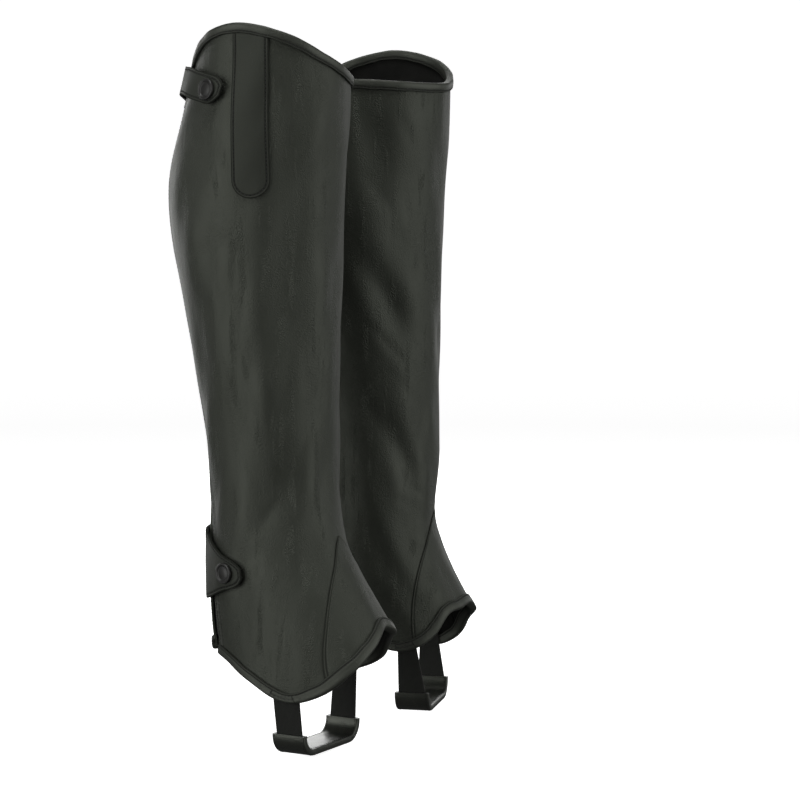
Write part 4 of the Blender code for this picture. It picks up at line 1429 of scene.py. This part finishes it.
def foot_strap(chap, looks):
    """The ends are tucked in behind the hem binding, and the rest hangs below it in a loop."""
    behind = -bpy.context.scene.chap_sizes.leather_wall - BINDING_GAP - BINDING_WALL - LAID_GAP
    forward = STRAP_FORWARD + STRAP_WIDTH * (shares(STRAP_COLUMNS) - 0.5)
    ends = {}
    for side in (1, -1):
        seam = chap.hem_height(FRONT - side * OUTSIDE)
        ends[side] = []
        for height in (seam + STRAP_TUCK, seam + BINDING_DEPTH, seam):
            around = chap.around_at(forward, height)
            ends[side].append(chap.point(around if side > 0 else FULL_TURN - around, height, behind))
    middle = foot_points(chap, forward, np.full(STRAP_COLUMNS + 1, STRAP_WALL / 2))
    rows, at = through_rows([*ends[1], *middle, *ends[-1][::-1]], STRAP_ROWS)
    piece = new_piece(
        f"{chap.name}_elastic_strap",
        rows,
        grid_faces(*rows.shape[:2], chap.outwards < 0),
        looks,
        np.stack(np.broadcast_arrays(forward[None, :], at[:, None]), axis=-1),
    )
    thicken(piece, STRAP_WALL, STRAP_ROUNDING)
    smooth(piece)
    settle(chap, piece, "foot_strap")


GUARD_ROUNDING = 1.1 * MM
GUARD_HOLLOW_ROUNDING = 0.3 * MM
GUARD_TURNS = (22.5, 45, 67.5)
GUARD_ACROSS = 12


def guard_ring(half_width, half_wall, rounding):
    """(forward, gap) points round the sleeve's section, for a face that lies this far out."""
    reach, rise = half_width - rounding, half_wall - rounding
    over = [(side * reach, half_wall) for side in mix(-1, 1, shares(GUARD_ACROSS))]
    turns = np.radians(GUARD_TURNS)
    corner = [(reach + rounding * math.sin(turn), rise + rounding * math.cos(turn)) for turn in turns]
    half = over + corner + [(half_width, 0.0)] + [(x, -y) for x, y in reversed(corner)]
    return np.array(half + [(-x, -y) for x, y in half])


def strap_guard(chap, looks):
    """A leather sleeve round the lowest part of the strap, open at both ends."""
    hollow = STRAP_WALL / 2 + LAID_GAP
    rings = (
        guard_ring(GUARD_WIDTH / 2, hollow + GUARD_WALL, GUARD_ROUNDING),
        guard_ring(GUARD_WIDTH / 2 - GUARD_WALL, hollow, GUARD_HOLLOW_ROUNDING),
    )
    skins = []
    for ring in rings:
        skin, at = through_rows(foot_points(chap, STRAP_FORWARD + ring[:, 0], ring[:, 1]), GUARD_ROWS)
        skins.append(skin)
    rows, columns = skins[0].shape[:2]
    points = np.concatenate([skins[0].reshape(-1, 3), skins[1].reshape(-1, 3)])
    index = np.arange(columns)
    following = (index + 1) % columns
    faces = []
    for first, turned in ((0, 1), (rows * columns, -1)):
        for row in range(rows - 1):
            low, high = first + row * columns, first + (row + 1) * columns
            quads = np.stack([low + index, low + following, high + following, high + index], axis=1)
            faces += quads[:, ::turned].tolist()
    for row, turned in ((0, 1), (rows - 1, -1)):
        outer, inner = row * columns, (rows + row) * columns
        quads = np.stack([inner + index, inner + following, outer + following, outer + index], axis=1)
        faces += quads[:, ::turned].tolist()
    flat = np.stack(np.broadcast_arrays(lengths_along(rings[0])[None, :], at[:, None]), axis=-1)
    piece = new_piece(f"{chap.name}_guard_leather", points, faces, looks, np.concatenate([flat, flat]))
    face_outwards(piece)
    smooth(piece)
    settle(chap, piece, "strap_guard")


# Shares of the thread's width.
STITCH_LIFT = 0.12
STITCH_DRAWN = 0.45


def thread_stitch():
    """One stitch, as it shows between its holes: lying along Y on z = 0, its ends drawn down."""
    sizes = bpy.context.scene.chap_sizes
    stitch = primitive(
        bpy.ops.mesh.primitive_uv_sphere_add,
        segments=8,
        ring_count=6,
        radius=0.5,
        rotation=(math.pi / 2, 0, 0),
    )
    bpy.ops.object.transform_apply()
    stitch.scale = (sizes.thread_width, sizes.stitch_length, sizes.thread_width)
    bpy.ops.object.transform_apply()
    for vertex in stitch.data.vertices:
        drawn = (2 * vertex.co.y / sizes.stitch_length) ** 2
        vertex.co.z += sizes.thread_width * (STITCH_LIFT - STITCH_DRAWN * drawn)
    return stitch


def sew(points, normals):
    """Where stitches lie along a line of points, and each one's directions: across, along and out."""
    pitch = bpy.context.scene.chap_sizes.stitch_pitch
    lengths = lengths_along(points)
    count = max(int(round(lengths[-1] / pitch)), 1)
    at = (np.arange(count) + 0.5) / count * lengths[-1]

    def along_line(values, where):
        return np.stack([np.interp(where, lengths, values[:, k]) for k in range(3)], axis=1)

    ahead = along_line(points, at + pitch / 4) - along_line(points, at - pitch / 4)
    out = along_line(normals, at)
    ahead /= np.linalg.norm(ahead, axis=1, keepdims=True)
    out -= ahead * np.sum(ahead * out, axis=1, keepdims=True)
    out /= np.linalg.norm(out, axis=1, keepdims=True)
    return along_line(points, at), np.cross(ahead, out), ahead, out


def leaf_out(depth, stand):
    """How far out a binding's outer leaf lies at this depth."""
    depths, out = binding_skins(stand, bpy.context.scene.chap_sizes.binding_crown)[0]
    leaf = slice(len(LEAF_DEPTHS) - 1, None, -1)
    return np.interp(depth, depths[leaf], out[leaf])


# Where lines of stitches stop: degrees short of a binding's ends, shares of the way up the notch, and lengths
# short of the binding beside the zip and below the patch's top. The last two say how far out thread lies
# beside the zip, and how far it sinks into the inner leaf of a binding.
BINDING_LINE_CLEAR = 1.5
NOTCH_LINE_ENDS = (0.1, 0.955)
ZIP_LINE_CLEAR = 1.5 * MM
PATCH_LINE_CLEAR = 2 * MM
PATCH_TURN_STEP = 6
CROSS_LINE_AT = -12.0 * MM
THREAD_OUT = 0.18 * MM
THREAD_INSIDE = 0.3 * MM


def seam_lines(chap):
    """Every line of stitches on a chap: degrees, heights and distances out, and 1 or -1 for its outside or
    its inside."""
    wall = bpy.context.scene.chap_sizes.leather_wall
    lines = []
    sewn_depth = BINDING_DEPTH - BINDING_SEW_IN
    for edge_line, ends, inwards, stand in (
        (rim_height, top_ends(), -1, TOP_BINDING_STAND),
        (chap.hem_height, hem_ends(chap), 1, HEM_BINDING_STAND),
    ):
        arounds = mix(ends[0] + BINDING_LINE_CLEAR, ends[1] - BINDING_LINE_CLEAR, shares(LINE_STEPS))
        around, height = edge_spot(arounds, edge_line, inwards, sewn_depth)
        lines.append((around, height, leaf_out(sewn_depth, stand), 1))
        lines.append((around, height, -wall - BINDING_GAP - BINDING_WALL + THREAD_INSIDE, -1))
    for side in (1, -1):
        up = mix(*NOTCH_LINE_ENDS, shares(NOTCH_LINE_STEPS))
        around, height = chap.seam(side, up, SEAM_GAP + SEW_IN)
        lines.append((around, height, GUSSET_PROUD - GUSSET_LOWER, 1))
        low = chap.hem_height(ZIP_AROUND_ANKLE) + BINDING_DEPTH + ZIP_LINE_CLEAR
        high = rim_height(ZIP_AROUND_CALF) - BINDING_DEPTH - ZIP_LINE_CLEAR
        height = mix(low, high, shares(LINE_STEPS))
        for inside in ZIP_SEW_IN:
            lines.append((panel_edge(height, side, inside), height, THREAD_OUT, 1))
    half, top, round_from = patch_form(chap)
    half -= SEW_IN
    turn = np.radians(np.arange(0, 181, PATCH_TURN_STEP))
    beside = np.full(PATCH_LINE_STEPS, half)
    x = np.concatenate([beside, half * np.cos(turn), -beside])
    straight = mix(top - PATCH_LINE_CLEAR, round_from, shares(PATCH_LINE_STEPS)[:-1])
    height = np.concatenate([straight, round_from - half * np.sin(turn), straight[::-1]])
    lines.append((chap.around_at(PATCH_FORWARD + x, height), height, LAID_GAP + PATCH_WALL, 1))
    for sections in (TOP_TAB, BOTTOM_TAB):
        outline = inset(tab_outline(sections), SEW_IN)
        outline = np.concatenate([outline, outline[:1]])
        across = np.full(CROSS_STEPS + 1, CROSS_LINE_AT)
        low, high = tab_size(sections, "low", across[0]), tab_size(sections, "high", across[0])
        cross = np.stack([across, mix(low + SEW_IN, high - SEW_IN, shares(CROSS_STEPS))], axis=1)
        for line in (outline, cross):
            out = tab_size(sections, "lift", line[:, 0]) + TAB_WALL
            lines.append((zip_around(line[:, 1], line[:, 0]), line[:, 1], out, 1))
    return lines + strap_boxes(chap)


def strap_boxes(chap):
    """The stitches that hold the strap's ends in the hem binding: at each side a box with one diagonal."""
    lines = []
    low, high = BOX_LOW, BINDING_DEPTH - BINDING_SEW_IN
    half = BOX_HALF_WIDTH
    corners = np.array([(-half, low), (half, low), (half, high), (-half, high), (-half, low), (half, high)])
    steps = shares(BOX_STEPS)[:-1, None]
    path = np.concatenate([mix(a, b, steps) for a, b in zip(corners, corners[1:])])
    for side in (1, -1):
        edge = chap.hem_height(FRONT - side * OUTSIDE)
        around = chap.around_at(STRAP_FORWARD + path[:, 0], edge)
        around = around if side > 0 else FULL_TURN - around
        around, height = edge_spot(around, chap.hem_height, 1, path[:, 1])
        lines.append((around, height, leaf_out(path[:, 1], HEM_BINDING_STAND), 1))
    return lines


def stitching(chap, look):
    places = []
    for around, height, out, facing in seam_lines(chap):
        places.append(sew(chap.point(around, height, out), facing * chap.normal(around, height)))
    for edge in (-1, 1):
        for facing in (-1, 1):
            gap = facing * (STRAP_WALL / 2 + LAID_GAP + GUARD_WALL)
            forward = STRAP_FORWARD + edge * (GUARD_WIDTH / 2 - SEW_IN)
            outer, inner = foot_points(chap, [forward, forward], [gap, gap - facing * MM]).transpose(1, 0, 2)
            places.append(sew(outer, (outer - inner) / MM))
    places = [np.concatenate(values) for values in zip(*places)]
    points, faces = scatter(thread_stitch(), *places)
    piece = new_piece(f"{chap.name}_thread", points, faces, [look])
    smooth(piece, 180)
    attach(piece, "root")


class Nodes:
    """Adds nodes to a new material. An input takes a value or another node's output."""

    def __init__(self, name):
        self.material = bpy.data.materials.new(name)
        self.material.use_nodes = True
        self.tree = self.material.node_tree
        self.shader = self.tree.nodes["Principled BSDF"]
        self.coordinates = self.tree.nodes.new("ShaderNodeTexCoord").outputs

    def feed(self, socket, value):
        if isinstance(value, bpy.types.NodeSocket):
            self.tree.links.new(value, socket)
        else:
            socket.default_value = value

    def shade(self, **inputs):
        for name, value in inputs.items():
            self.feed(self.shader.inputs[name.replace("_", " ")], value)

    def maths(self, operation, *values):
        made = self.tree.nodes.new("ShaderNodeMath")
        made.operation = operation
        for socket, value in zip(made.inputs, values):
            self.feed(socket, value)
        return made.outputs[0]

    def moved(self, vector, offset, share):
        """A vector pushed about by another."""
        made = self.tree.nodes.new("ShaderNodeVectorMath")
        made.operation = "MULTIPLY_ADD"
        for socket, value in zip(made.inputs, (offset, (share, share, share), vector)):
            self.feed(socket, value)
        return made.outputs[0]

    def stretched(self, vector, up):
        """A vector whose pattern comes out this many times as long up the chap as across it."""
        made = self.tree.nodes.new("ShaderNodeVectorMath")
        made.operation = "MULTIPLY"
        self.feed(made.inputs[0], vector)
        self.feed(made.inputs[1], (1.0, 1.0, 1.0 / up))
        return made.outputs[0]

    def texture(self, kind, vector, output, settings=(), **inputs):
        made = self.tree.nodes.new(f"ShaderNodeTex{kind}")
        for name, value in settings:
            setattr(made, name, value)
        self.feed(made.inputs["Vector"], vector)
        for name, value in inputs.items():
            self.feed(made.inputs[name.replace("_", " ")], value)
        return made.outputs[output]

    def ranged(self, value, low, high):
        """The value's share of the way from low to high, smoothed at both ends."""
        made = self.tree.nodes.new("ShaderNodeMapRange")
        made.interpolation_type = "SMOOTHSTEP"
        for socket, fed in zip(made.inputs, (value, low, high)):
            self.feed(socket, fed)
        return made.outputs[0]

    def mixed(self, share, first, second):
        made = self.tree.nodes.new("ShaderNodeMix")
        made.data_type = "RGBA"
        self.feed(made.inputs[0], share)
        self.feed(made.inputs[6], first)
        self.feed(made.inputs[7], second)
        return made.outputs[2]

    def attribute(self, name):
        made = self.tree.nodes.new("ShaderNodeAttribute")
        made.attribute_name = name
        return made.outputs["Fac"]

    def bump(self, height, strength, distance):
        made = self.tree.nodes.new("ShaderNodeBump")
        for name, value in (("Height", height), ("Strength", strength), ("Distance", distance)):
            self.feed(made.inputs[name], value)
        self.shade(Normal=made.outputs[0])


REFLECTED_TINT = (0.94, 1.0, 0.85, 1.0)


def rgba(colour_value, gain=1.0):
    return (*[min(part * gain, 1.0) for part in colour_value], 1.0)


def leather_look(name, colour_value, grain_strength, roughness, coat=0.0):
    """Tumbled leather: uneven pebbles over a finer grain and hairline wrinkles, with painted shade in the
    grain's valleys and painted highlights on pebble tops. The marks on each piece make it paler where it is
    rubbed and where highlights are painted, and darker where shade is painted and along its cut edges.
    """
    nodes = Nodes(name)
    place = nodes.coordinates["Object"]
    grain = 1 / bpy.context.scene.chap_sizes.grain_size
    drift = nodes.texture("Noise", place, "Color", Scale=grain * 0.45, Detail=2.0)
    warped = nodes.moved(place, drift, 0.35 / grain)
    soft = (("feature", "SMOOTH_F1"),)
    pebble = nodes.texture("Voronoi", warped, "Distance", soft, Scale=grain, Smoothness=0.35)
    fine = nodes.texture("Voronoi", warped, "Distance", Scale=grain * 2.1)
    patches = nodes.texture("Noise", nodes.stretched(place, 4.0), "Fac", Scale=grain * 0.12, Detail=3.0)
    where = nodes.ranged(patches, 0.36, 0.7)
    streaks = nodes.texture("Noise", place, "Fac", Scale=grain * 0.2, Detail=4.0, Distortion=1.0)
    hairline = nodes.ranged(nodes.maths("ABSOLUTE", nodes.maths("SUBTRACT", streaks, 0.5)), 0.0, 0.02)
    big = nodes.maths("SUBTRACT", 1.0, nodes.ranged(pebble, 0.15, 0.75))
    small = nodes.maths("SUBTRACT", 1.0, nodes.ranged(fine, 0.1, 0.8))
    long_noise = nodes.texture("Noise", nodes.stretched(place, 7.0), "Fac", Scale=grain * 0.16, Detail=2.0)
    streak = nodes.ranged(long_noise, 0.57, 0.66)
    raised = nodes.maths("MULTIPLY_ADD", streak, 0.9, nodes.maths("MULTIPLY_ADD", where, 0.6, 0.2))
    relief = nodes.maths("MULTIPLY", nodes.maths("MULTIPLY_ADD", small, 0.3, big), raised)
    relief = nodes.maths("MULTIPLY_ADD", hairline, 0.1, relief)
    nodes.bump(relief, grain_strength, 0.42 * MM)
    tone = nodes.texture("Noise", place, "Fac", Scale=grain * 0.04, Detail=4.0)
    colour_mix = nodes.mixed(nodes.ranged(tone, 0.3, 0.7), rgba(colour_value, 0.92), rgba(colour_value, 1.08))
    # Painted shade: the grain's valleys are darkened a little, where the pebbles are strong.
    valley_shade = nodes.maths("SUBTRACT", 1.0, nodes.ranged(relief, 0.1, 0.5))
    valley_shade = nodes.maths("MULTIPLY", nodes.maths("MULTIPLY", valley_shade, where), 0.08)
    colour_mix = nodes.mixed(valley_shade, colour_mix, rgba(colour_value, 0.35))
    # Painted highlights: the tops of the pebbles in the long streaks are made paler, as glints of light.
    pebble_highlights = nodes.maths("MULTIPLY", streak, nodes.ranged(big, 0.45, 1.0))
    colour_mix = nodes.mixed(nodes.maths("MULTIPLY", pebble_highlights, 0.45), colour_mix, rgba(colour_value, 2.2))
    # Marks kept on the pieces: above 0 paler, from rubbing and painted highlights; below 0 darker, from
    # painted shade and dark cut edges.
    wear_and_painted_light = nodes.attribute("wear_and_painted_light")
    wear_and_light_marks = nodes.ranged(wear_and_painted_light, 0.0, 1.0)
    shade_and_dark_edges = nodes.ranged(nodes.maths("MULTIPLY", wear_and_painted_light, -1.0), 0.0, 1.0)
    colour_mix = nodes.mixed(nodes.maths("MULTIPLY", wear_and_light_marks, 0.5), colour_mix, rgba(colour_value, 2.6))
    colour_mix = nodes.mixed(nodes.maths("MULTIPLY", shade_and_dark_edges, 0.8), colour_mix, rgba(colour_value, 0.2))
    rough = nodes.maths("MULTIPLY_ADD", tone, 0.12, roughness - 0.06)
    rough = nodes.maths("MULTIPLY_ADD", wear_and_light_marks, -0.1, rough)
    rough = nodes.maths("MULTIPLY_ADD", shade_and_dark_edges, 0.3, rough)
    nodes.shade(Base_Color=colour_mix, Roughness=rough, Coat_Weight=coat, Coat_Roughness=0.35)
    nodes.shade(Specular_Tint=REFLECTED_TINT)
    return nodes.material


# Turns the width of a thread into the scale of Blender's wave texture.
WAVE_SCALE = 0.314


def cloth_look(name, colour_value, pitch, ribs, roughness):
    """Woven cloth on its own flat map: fine threads across, and ribs along."""
    nodes = Nodes(name)
    flat = nodes.coordinates["UV"]
    across, along = [
        nodes.texture("Wave", flat, "Fac", (("bands_direction", axis),), Scale=WAVE_SCALE / width)
        for axis, width in (("X", pitch), ("Y", ribs))
    ]
    weave = nodes.maths("MULTIPLY_ADD", across, 0.6, nodes.maths("MULTIPLY", along, 0.6))
    fuzz = nodes.texture("Noise", nodes.coordinates["Object"], "Fac", Scale=900.0, Detail=3.0)
    nodes.bump(nodes.maths("MULTIPLY_ADD", fuzz, 0.4, weave), 0.8, 0.2 * MM)
    tone = nodes.mixed(nodes.ranged(weave, 0.2, 1.0), rgba(colour_value, 0.5), rgba(colour_value, 1.35))
    nodes.shade(Base_Color=tone, Roughness=roughness, Sheen_Weight=0.04, Sheen_Roughness=0.5)
    nodes.shade(Specular_IOR_Level=0.3)
    return nodes.material


def lining_look(name, colour_value):
    """The suede inside."""
    nodes = Nodes(name)
    place = nodes.coordinates["Object"]
    nap = nodes.texture("Noise", place, "Fac", Scale=1400.0, Detail=4.0)
    cloud = nodes.texture("Noise", place, "Fac", Scale=60.0, Detail=4.0)
    nodes.bump(nap, 0.5, 0.2 * MM)
    tone = nodes.mixed(nodes.ranged(cloud, 0.3, 0.7), rgba(colour_value, 0.75), rgba(colour_value, 1.25))
    nodes.shade(Base_Color=tone, Roughness=0.95, Sheen_Weight=0.03, Sheen_Roughness=0.6)
    nodes.shade(Specular_IOR_Level=0.15)
    return nodes.material


def plain_look(name, colour_value, roughness, metallic=0.0, speckle=900.0):
    """Thread, plastic or metal, with a little unevenness."""
    nodes = Nodes(name)
    place = nodes.coordinates["Object"]
    spots = nodes.texture("Noise", place, "Fac", Scale=speckle, Detail=3.0)
    tone = nodes.mixed(nodes.ranged(spots, 0.3, 0.7), rgba(colour_value, 0.8), rgba(colour_value, 1.2))
    rough = nodes.maths("MULTIPLY_ADD", spots, 0.16, roughness - 0.08)
    nodes.bump(spots, 0.1, 0.02 * MM)
    nodes.shade(Base_Color=tone, Roughness=rough, Metallic=metallic)
    return nodes.material


LOOKS = {
    "leather": lambda colours: leather_look("grained leather", colours.leather, 0.55, 0.57),
    "smooth": lambda colours: leather_look("smooth leather", colours.patch, 0.2, 0.68),
    "edging": lambda colours: leather_look("binding leather", colours.binding, 0.3, 0.58),
    "guard": lambda colours: leather_look("guard leather", colours.binding, 0.3, 0.38, 0.15),
    "lining": lambda colours: lining_look("suede lining", colours.lining),
    "thread": lambda colours: plain_look("sewing thread", colours.thread, 0.75),
    "tape": lambda colours: cloth_look("woven tape", colours.tape, 0.7 * MM, 1.9 * MM, 0.75),
    "teeth": lambda colours: plain_look("coil teeth", colours.teeth, 0.34),
    "elastic": lambda colours: cloth_look("elastic webbing", colours.elastic, 1.1 * MM, 0.8 * MM, 0.7),
    "metal": lambda colours: plain_look("blackened metal", colours.metal, 0.36, 0.5, 2500.0),
}


def look(name):
    """A material of the table, made the first time that it is asked for."""
    if name not in bpy.context.scene:
        bpy.context.scene[name] = LOOKS[name](bpy.context.scene.chap_colours)
    return bpy.context.scene[name]


class BodyPanels(bpy.types.Operator):
    """Makes each chap's body from one piece of grained leather, open at the zip and notched in front"""

    bl_idname = "half_chaps.body_panels"
    bl_label = "Body panels"

    def execute(self, context):
        for chap in both_chaps():
            body_panel(chap, [look("leather"), look("lining")])
        return {"FINISHED"}


class InstepGussets(bpy.types.Operator):
    """Makes the pointed gussets in the notches"""

    bl_idname = "half_chaps.instep_gussets"
    bl_label = "Instep gussets"

    def execute(self, context):
        for chap in both_chaps():
            instep_gusset(chap, [look("leather"), look("lining")])
        return {"FINISHED"}


class Bindings(bpy.types.Operator):
    """Folds a strip of smooth leather over each top edge and each hem"""

    bl_idname = "half_chaps.bindings"
    bl_label = "Bindings"

    def execute(self, context):
        for chap in both_chaps():
            looks = [look("edging")]
            binding(chap, "top_binding", rim_height, top_ends(), -1, TOP_BINDING_STAND, looks, True)
            binding(chap, "hem_binding", chap.hem_height, hem_ends(chap), 1, HEM_BINDING_STAND, looks, False)
        return {"FINISHED"}


class SidePatches(bpy.types.Operator):
    """Makes the long round-ended patches on the outsides"""

    bl_idname = "half_chaps.side_patches"
    bl_label = "Side patches"

    def execute(self, context):
        for chap in both_chaps():
            side_patch(chap, [look("smooth")])
        return {"FINISHED"}


class SnapTabs(bpy.types.Operator):
    """Makes the tabs across the zips"""

    bl_idname = "half_chaps.snap_tabs"
    bl_label = "Snap tabs"

    def execute(self, context):
        for chap in both_chaps():
            tab(chap, "top_tab", TOP_TAB, [look("smooth")])
            tab(chap, "bottom_tab", BOTTOM_TAB, [look("smooth")])
        return {"FINISHED"}


class Zips(bpy.types.Operator):
    """Makes the zips' tapes and teeth"""

    bl_idname = "half_chaps.zips"
    bl_label = "Zips"

    def execute(self, context):
        for chap in both_chaps():
            zip_tape(chap, 1, "zip_tape_outer", [look("tape")])
            zip_tape(chap, -1, "zip_tape_inner", [look("tape")])
            zip_teeth(chap, [look("teeth")])
        return {"FINISHED"}


class Sliders(bpy.types.Operator):
    """Makes the zips' sliders and their pulls"""

    bl_idname = "half_chaps.sliders"
    bl_label = "Sliders and pulls"

    def execute(self, context):
        for chap in both_chaps():
            slider(chap, look("metal"))
            pull(chap, look("metal"))
        return {"FINISHED"}


class Snaps(bpy.types.Operator):
    """Makes the snaps' caps and the studs under the tabs"""

    bl_idname = "half_chaps.snaps"
    bl_label = "Snaps"

    def execute(self, context):
        for chap in both_chaps():
            snap(chap, "top_snap", TOP_SNAP, look("metal"))
            snap(chap, "bottom_snap", BOTTOM_SNAP, look("metal"))
        return {"FINISHED"}


class FootStraps(bpy.types.Operator):
    """Makes the elastic straps below the hems and their leather guards"""

    bl_idname = "half_chaps.foot_straps"
    bl_label = "Foot straps and guards"

    def execute(self, context):
        for chap in both_chaps():
            foot_strap(chap, [look("elastic")])
            strap_guard(chap, [look("guard")])
        return {"FINISHED"}


class Stitching(bpy.types.Operator):
    """Sews every seam with a line of stitches"""

    bl_idname = "half_chaps.stitching"
    bl_label = "Stitching"

    def execute(self, context):
        for chap in both_chaps():
            stitching(chap, look("thread"))
        return {"FINISHED"}


# Metres aside of, ahead of and above the middle of the pair as the camera sees it, then width and watts.
StageLight = namedtuple("StageLight", "name aside ahead above width watts")
LIGHTS = (
    StageLight("key light", -1.6, -1.2, 0.1, 2.0, 27),
    StageLight("top light", -0.2, -0.5, 1.7, 1.0, 20),
    StageLight("fill light", 1.55, -0.75, 0.2, 2.2, 22),
    StageLight("back light", 0.0, 2.2, 0.9, 1.8, 34),
    StageLight("left edge light", -1.2, 1.6, 0.2, 1.2, 12),
    StageLight("right edge light", 1.2, 1.6, 0.2, 1.2, 5),
)
PAIR_CENTRE = Vector((0.079, -0.008, -0.13))
ROOM_RADIUS = 5.0
ROOM_BEND = 1.5
ROOM_HEIGHT = 5.0
ROOM_SIDES = 64
BEND_STEPS = 12
ASIDE = Vector((math.sin(VIEW_TURN), -math.cos(VIEW_TURN), 0))
AHEAD = Vector((math.cos(VIEW_TURN), math.sin(VIEW_TURN), 0))
FLOOR_GLOW = 0.88
SKY_STRENGTH = 0.06


def seen_from(aside, ahead, above):
    return ASIDE * aside + AHEAD * ahead + Vector((0, 0, above))


def pale_floor(colour_value):
    """A floor that bends up into a wall and a ceiling all round, so that no corner shows behind the pair."""
    turns = [math.pi / 2 * step / BEND_STEPS for step in range(BEND_STEPS + 1)]
    inner = ROOM_RADIUS - ROOM_BEND
    low = [(inner + ROOM_BEND * math.sin(turn), ROOM_BEND * (1 - math.cos(turn))) for turn in turns]
    line = [(0.0, 0.0), *low, *[(reach, ROOM_HEIGHT - up) for reach, up in reversed(low)], (0.0, ROOM_HEIGHT)]
    points = []
    for reach, up in line:
        for side in range(ROOM_SIDES + 1):
            turn = 2 * math.pi * side / ROOM_SIDES
            points.append((reach * math.cos(turn), reach * math.sin(turn), up - GRIP_HEIGHT))
    nodes = Nodes("pale floor")
    nodes.shade(Base_Color=rgba(colour_value), Roughness=0.95, Specular_IOR_Level=0.2)
    nodes.shade(Emission_Color=(1, 1, 1, 1), Emission_Strength=FLOOR_GLOW)
    floor = new_piece("floor", points, grid_faces(len(line), ROOM_SIDES + 1, True), [nodes.material])
    merge_points(floor)
    smooth(floor, 180)
    floor.visible_glossy = False
    floor.visible_diffuse = False
    floor.visible_shadow = False


class Stage(bpy.types.Operator):
    """Sets up the floor, the lights and the camera"""

    bl_idname = "half_chaps.stage"
    bl_label = "Stage"

    def execute(self, context):
        scene = context.scene
        pale_floor(scene.chap_colours.floor)
        for spec in LIGHTS:
            lamp = bpy.data.lights.new(spec.name, "AREA")
            lamp.shape = "DISK"
            lamp.size = spec.width
            lamp.energy = spec.watts
            light = bpy.data.objects.new(spec.name, lamp)
            light.location = PAIR_CENTRE + seen_from(spec.aside, spec.ahead, spec.above)
            light.rotation_euler = (PAIR_CENTRE - light.location).to_track_quat("-Z", "Y").to_euler()
            scene.collection.objects.link(light)
        world = bpy.data.worlds.new("studio")
        world.use_nodes = True
        sky = world.node_tree.nodes["Background"].inputs
        sky["Color"].default_value = (1, 1, 1, 1)
        sky["Strength"].default_value = SKY_STRENGTH
        scene.world = world
        lens = bpy.data.cameras.new("camera")
        lens.lens = LENS
        lens.sensor_width = SENSOR
        camera = bpy.data.objects.new("camera", lens)
        camera.location = seen_from(CAMERA_ASIDE, -CAMERA_BACK, CAMERA_HEIGHT - GRIP_HEIGHT)
        looks_along = AHEAD * math.cos(VIEW_TILT) - Vector((0, 0, math.sin(VIEW_TILT)))
        camera.rotation_euler = looks_along.to_track_quat("-Z", "Y").to_euler()
        scene.collection.objects.link(camera)
        scene.camera = camera
        scene.view_settings.view_transform = "Standard"
        return {"FINISHED"}


STEPS = (
    BodyPanels,
    InstepGussets,
    Bindings,
    SidePatches,
    SnapTabs,
    Zips,
    Sliders,
    Snaps,
    FootStraps,
    Stitching,
    Stage,
)


class ChapPanel(bpy.types.Panel):
    """Lists the steps, the sizes and the colours"""

    bl_idname = "VIEW3D_PT_half_chaps"
    bl_label = "Half chaps"
    bl_space_type = "VIEW_3D"
    bl_region_type = "UI"
    bl_category = "Half chaps"

    def draw(self, context):
        for step in STEPS:
            self.layout.operator(step.bl_idname)
        for group in (context.scene.chap_sizes, context.scene.chap_colours):
            for name in type(group).__annotations__:
                self.layout.prop(group, name)


CLASSES = (ChapSizes, ChapColours, *STEPS, ChapPanel)


def register():
    for added in CLASSES:
        bpy.utils.register_class(added)
    bpy.types.Scene.chap_sizes = bpy.props.PointerProperty(type=ChapSizes)
    bpy.types.Scene.chap_colours = bpy.props.PointerProperty(type=ChapColours)


def unregister():
    del bpy.types.Scene.chap_sizes
    del bpy.types.Scene.chap_colours
    for added in reversed(CLASSES):
        bpy.utils.unregister_class(added)


def main():
    register()
    for step in STEPS:
        operator = step.bl_idname.split(".")[1]
        getattr(bpy.ops.half_chaps, operator)()


if __name__ == "__main__":
    main()
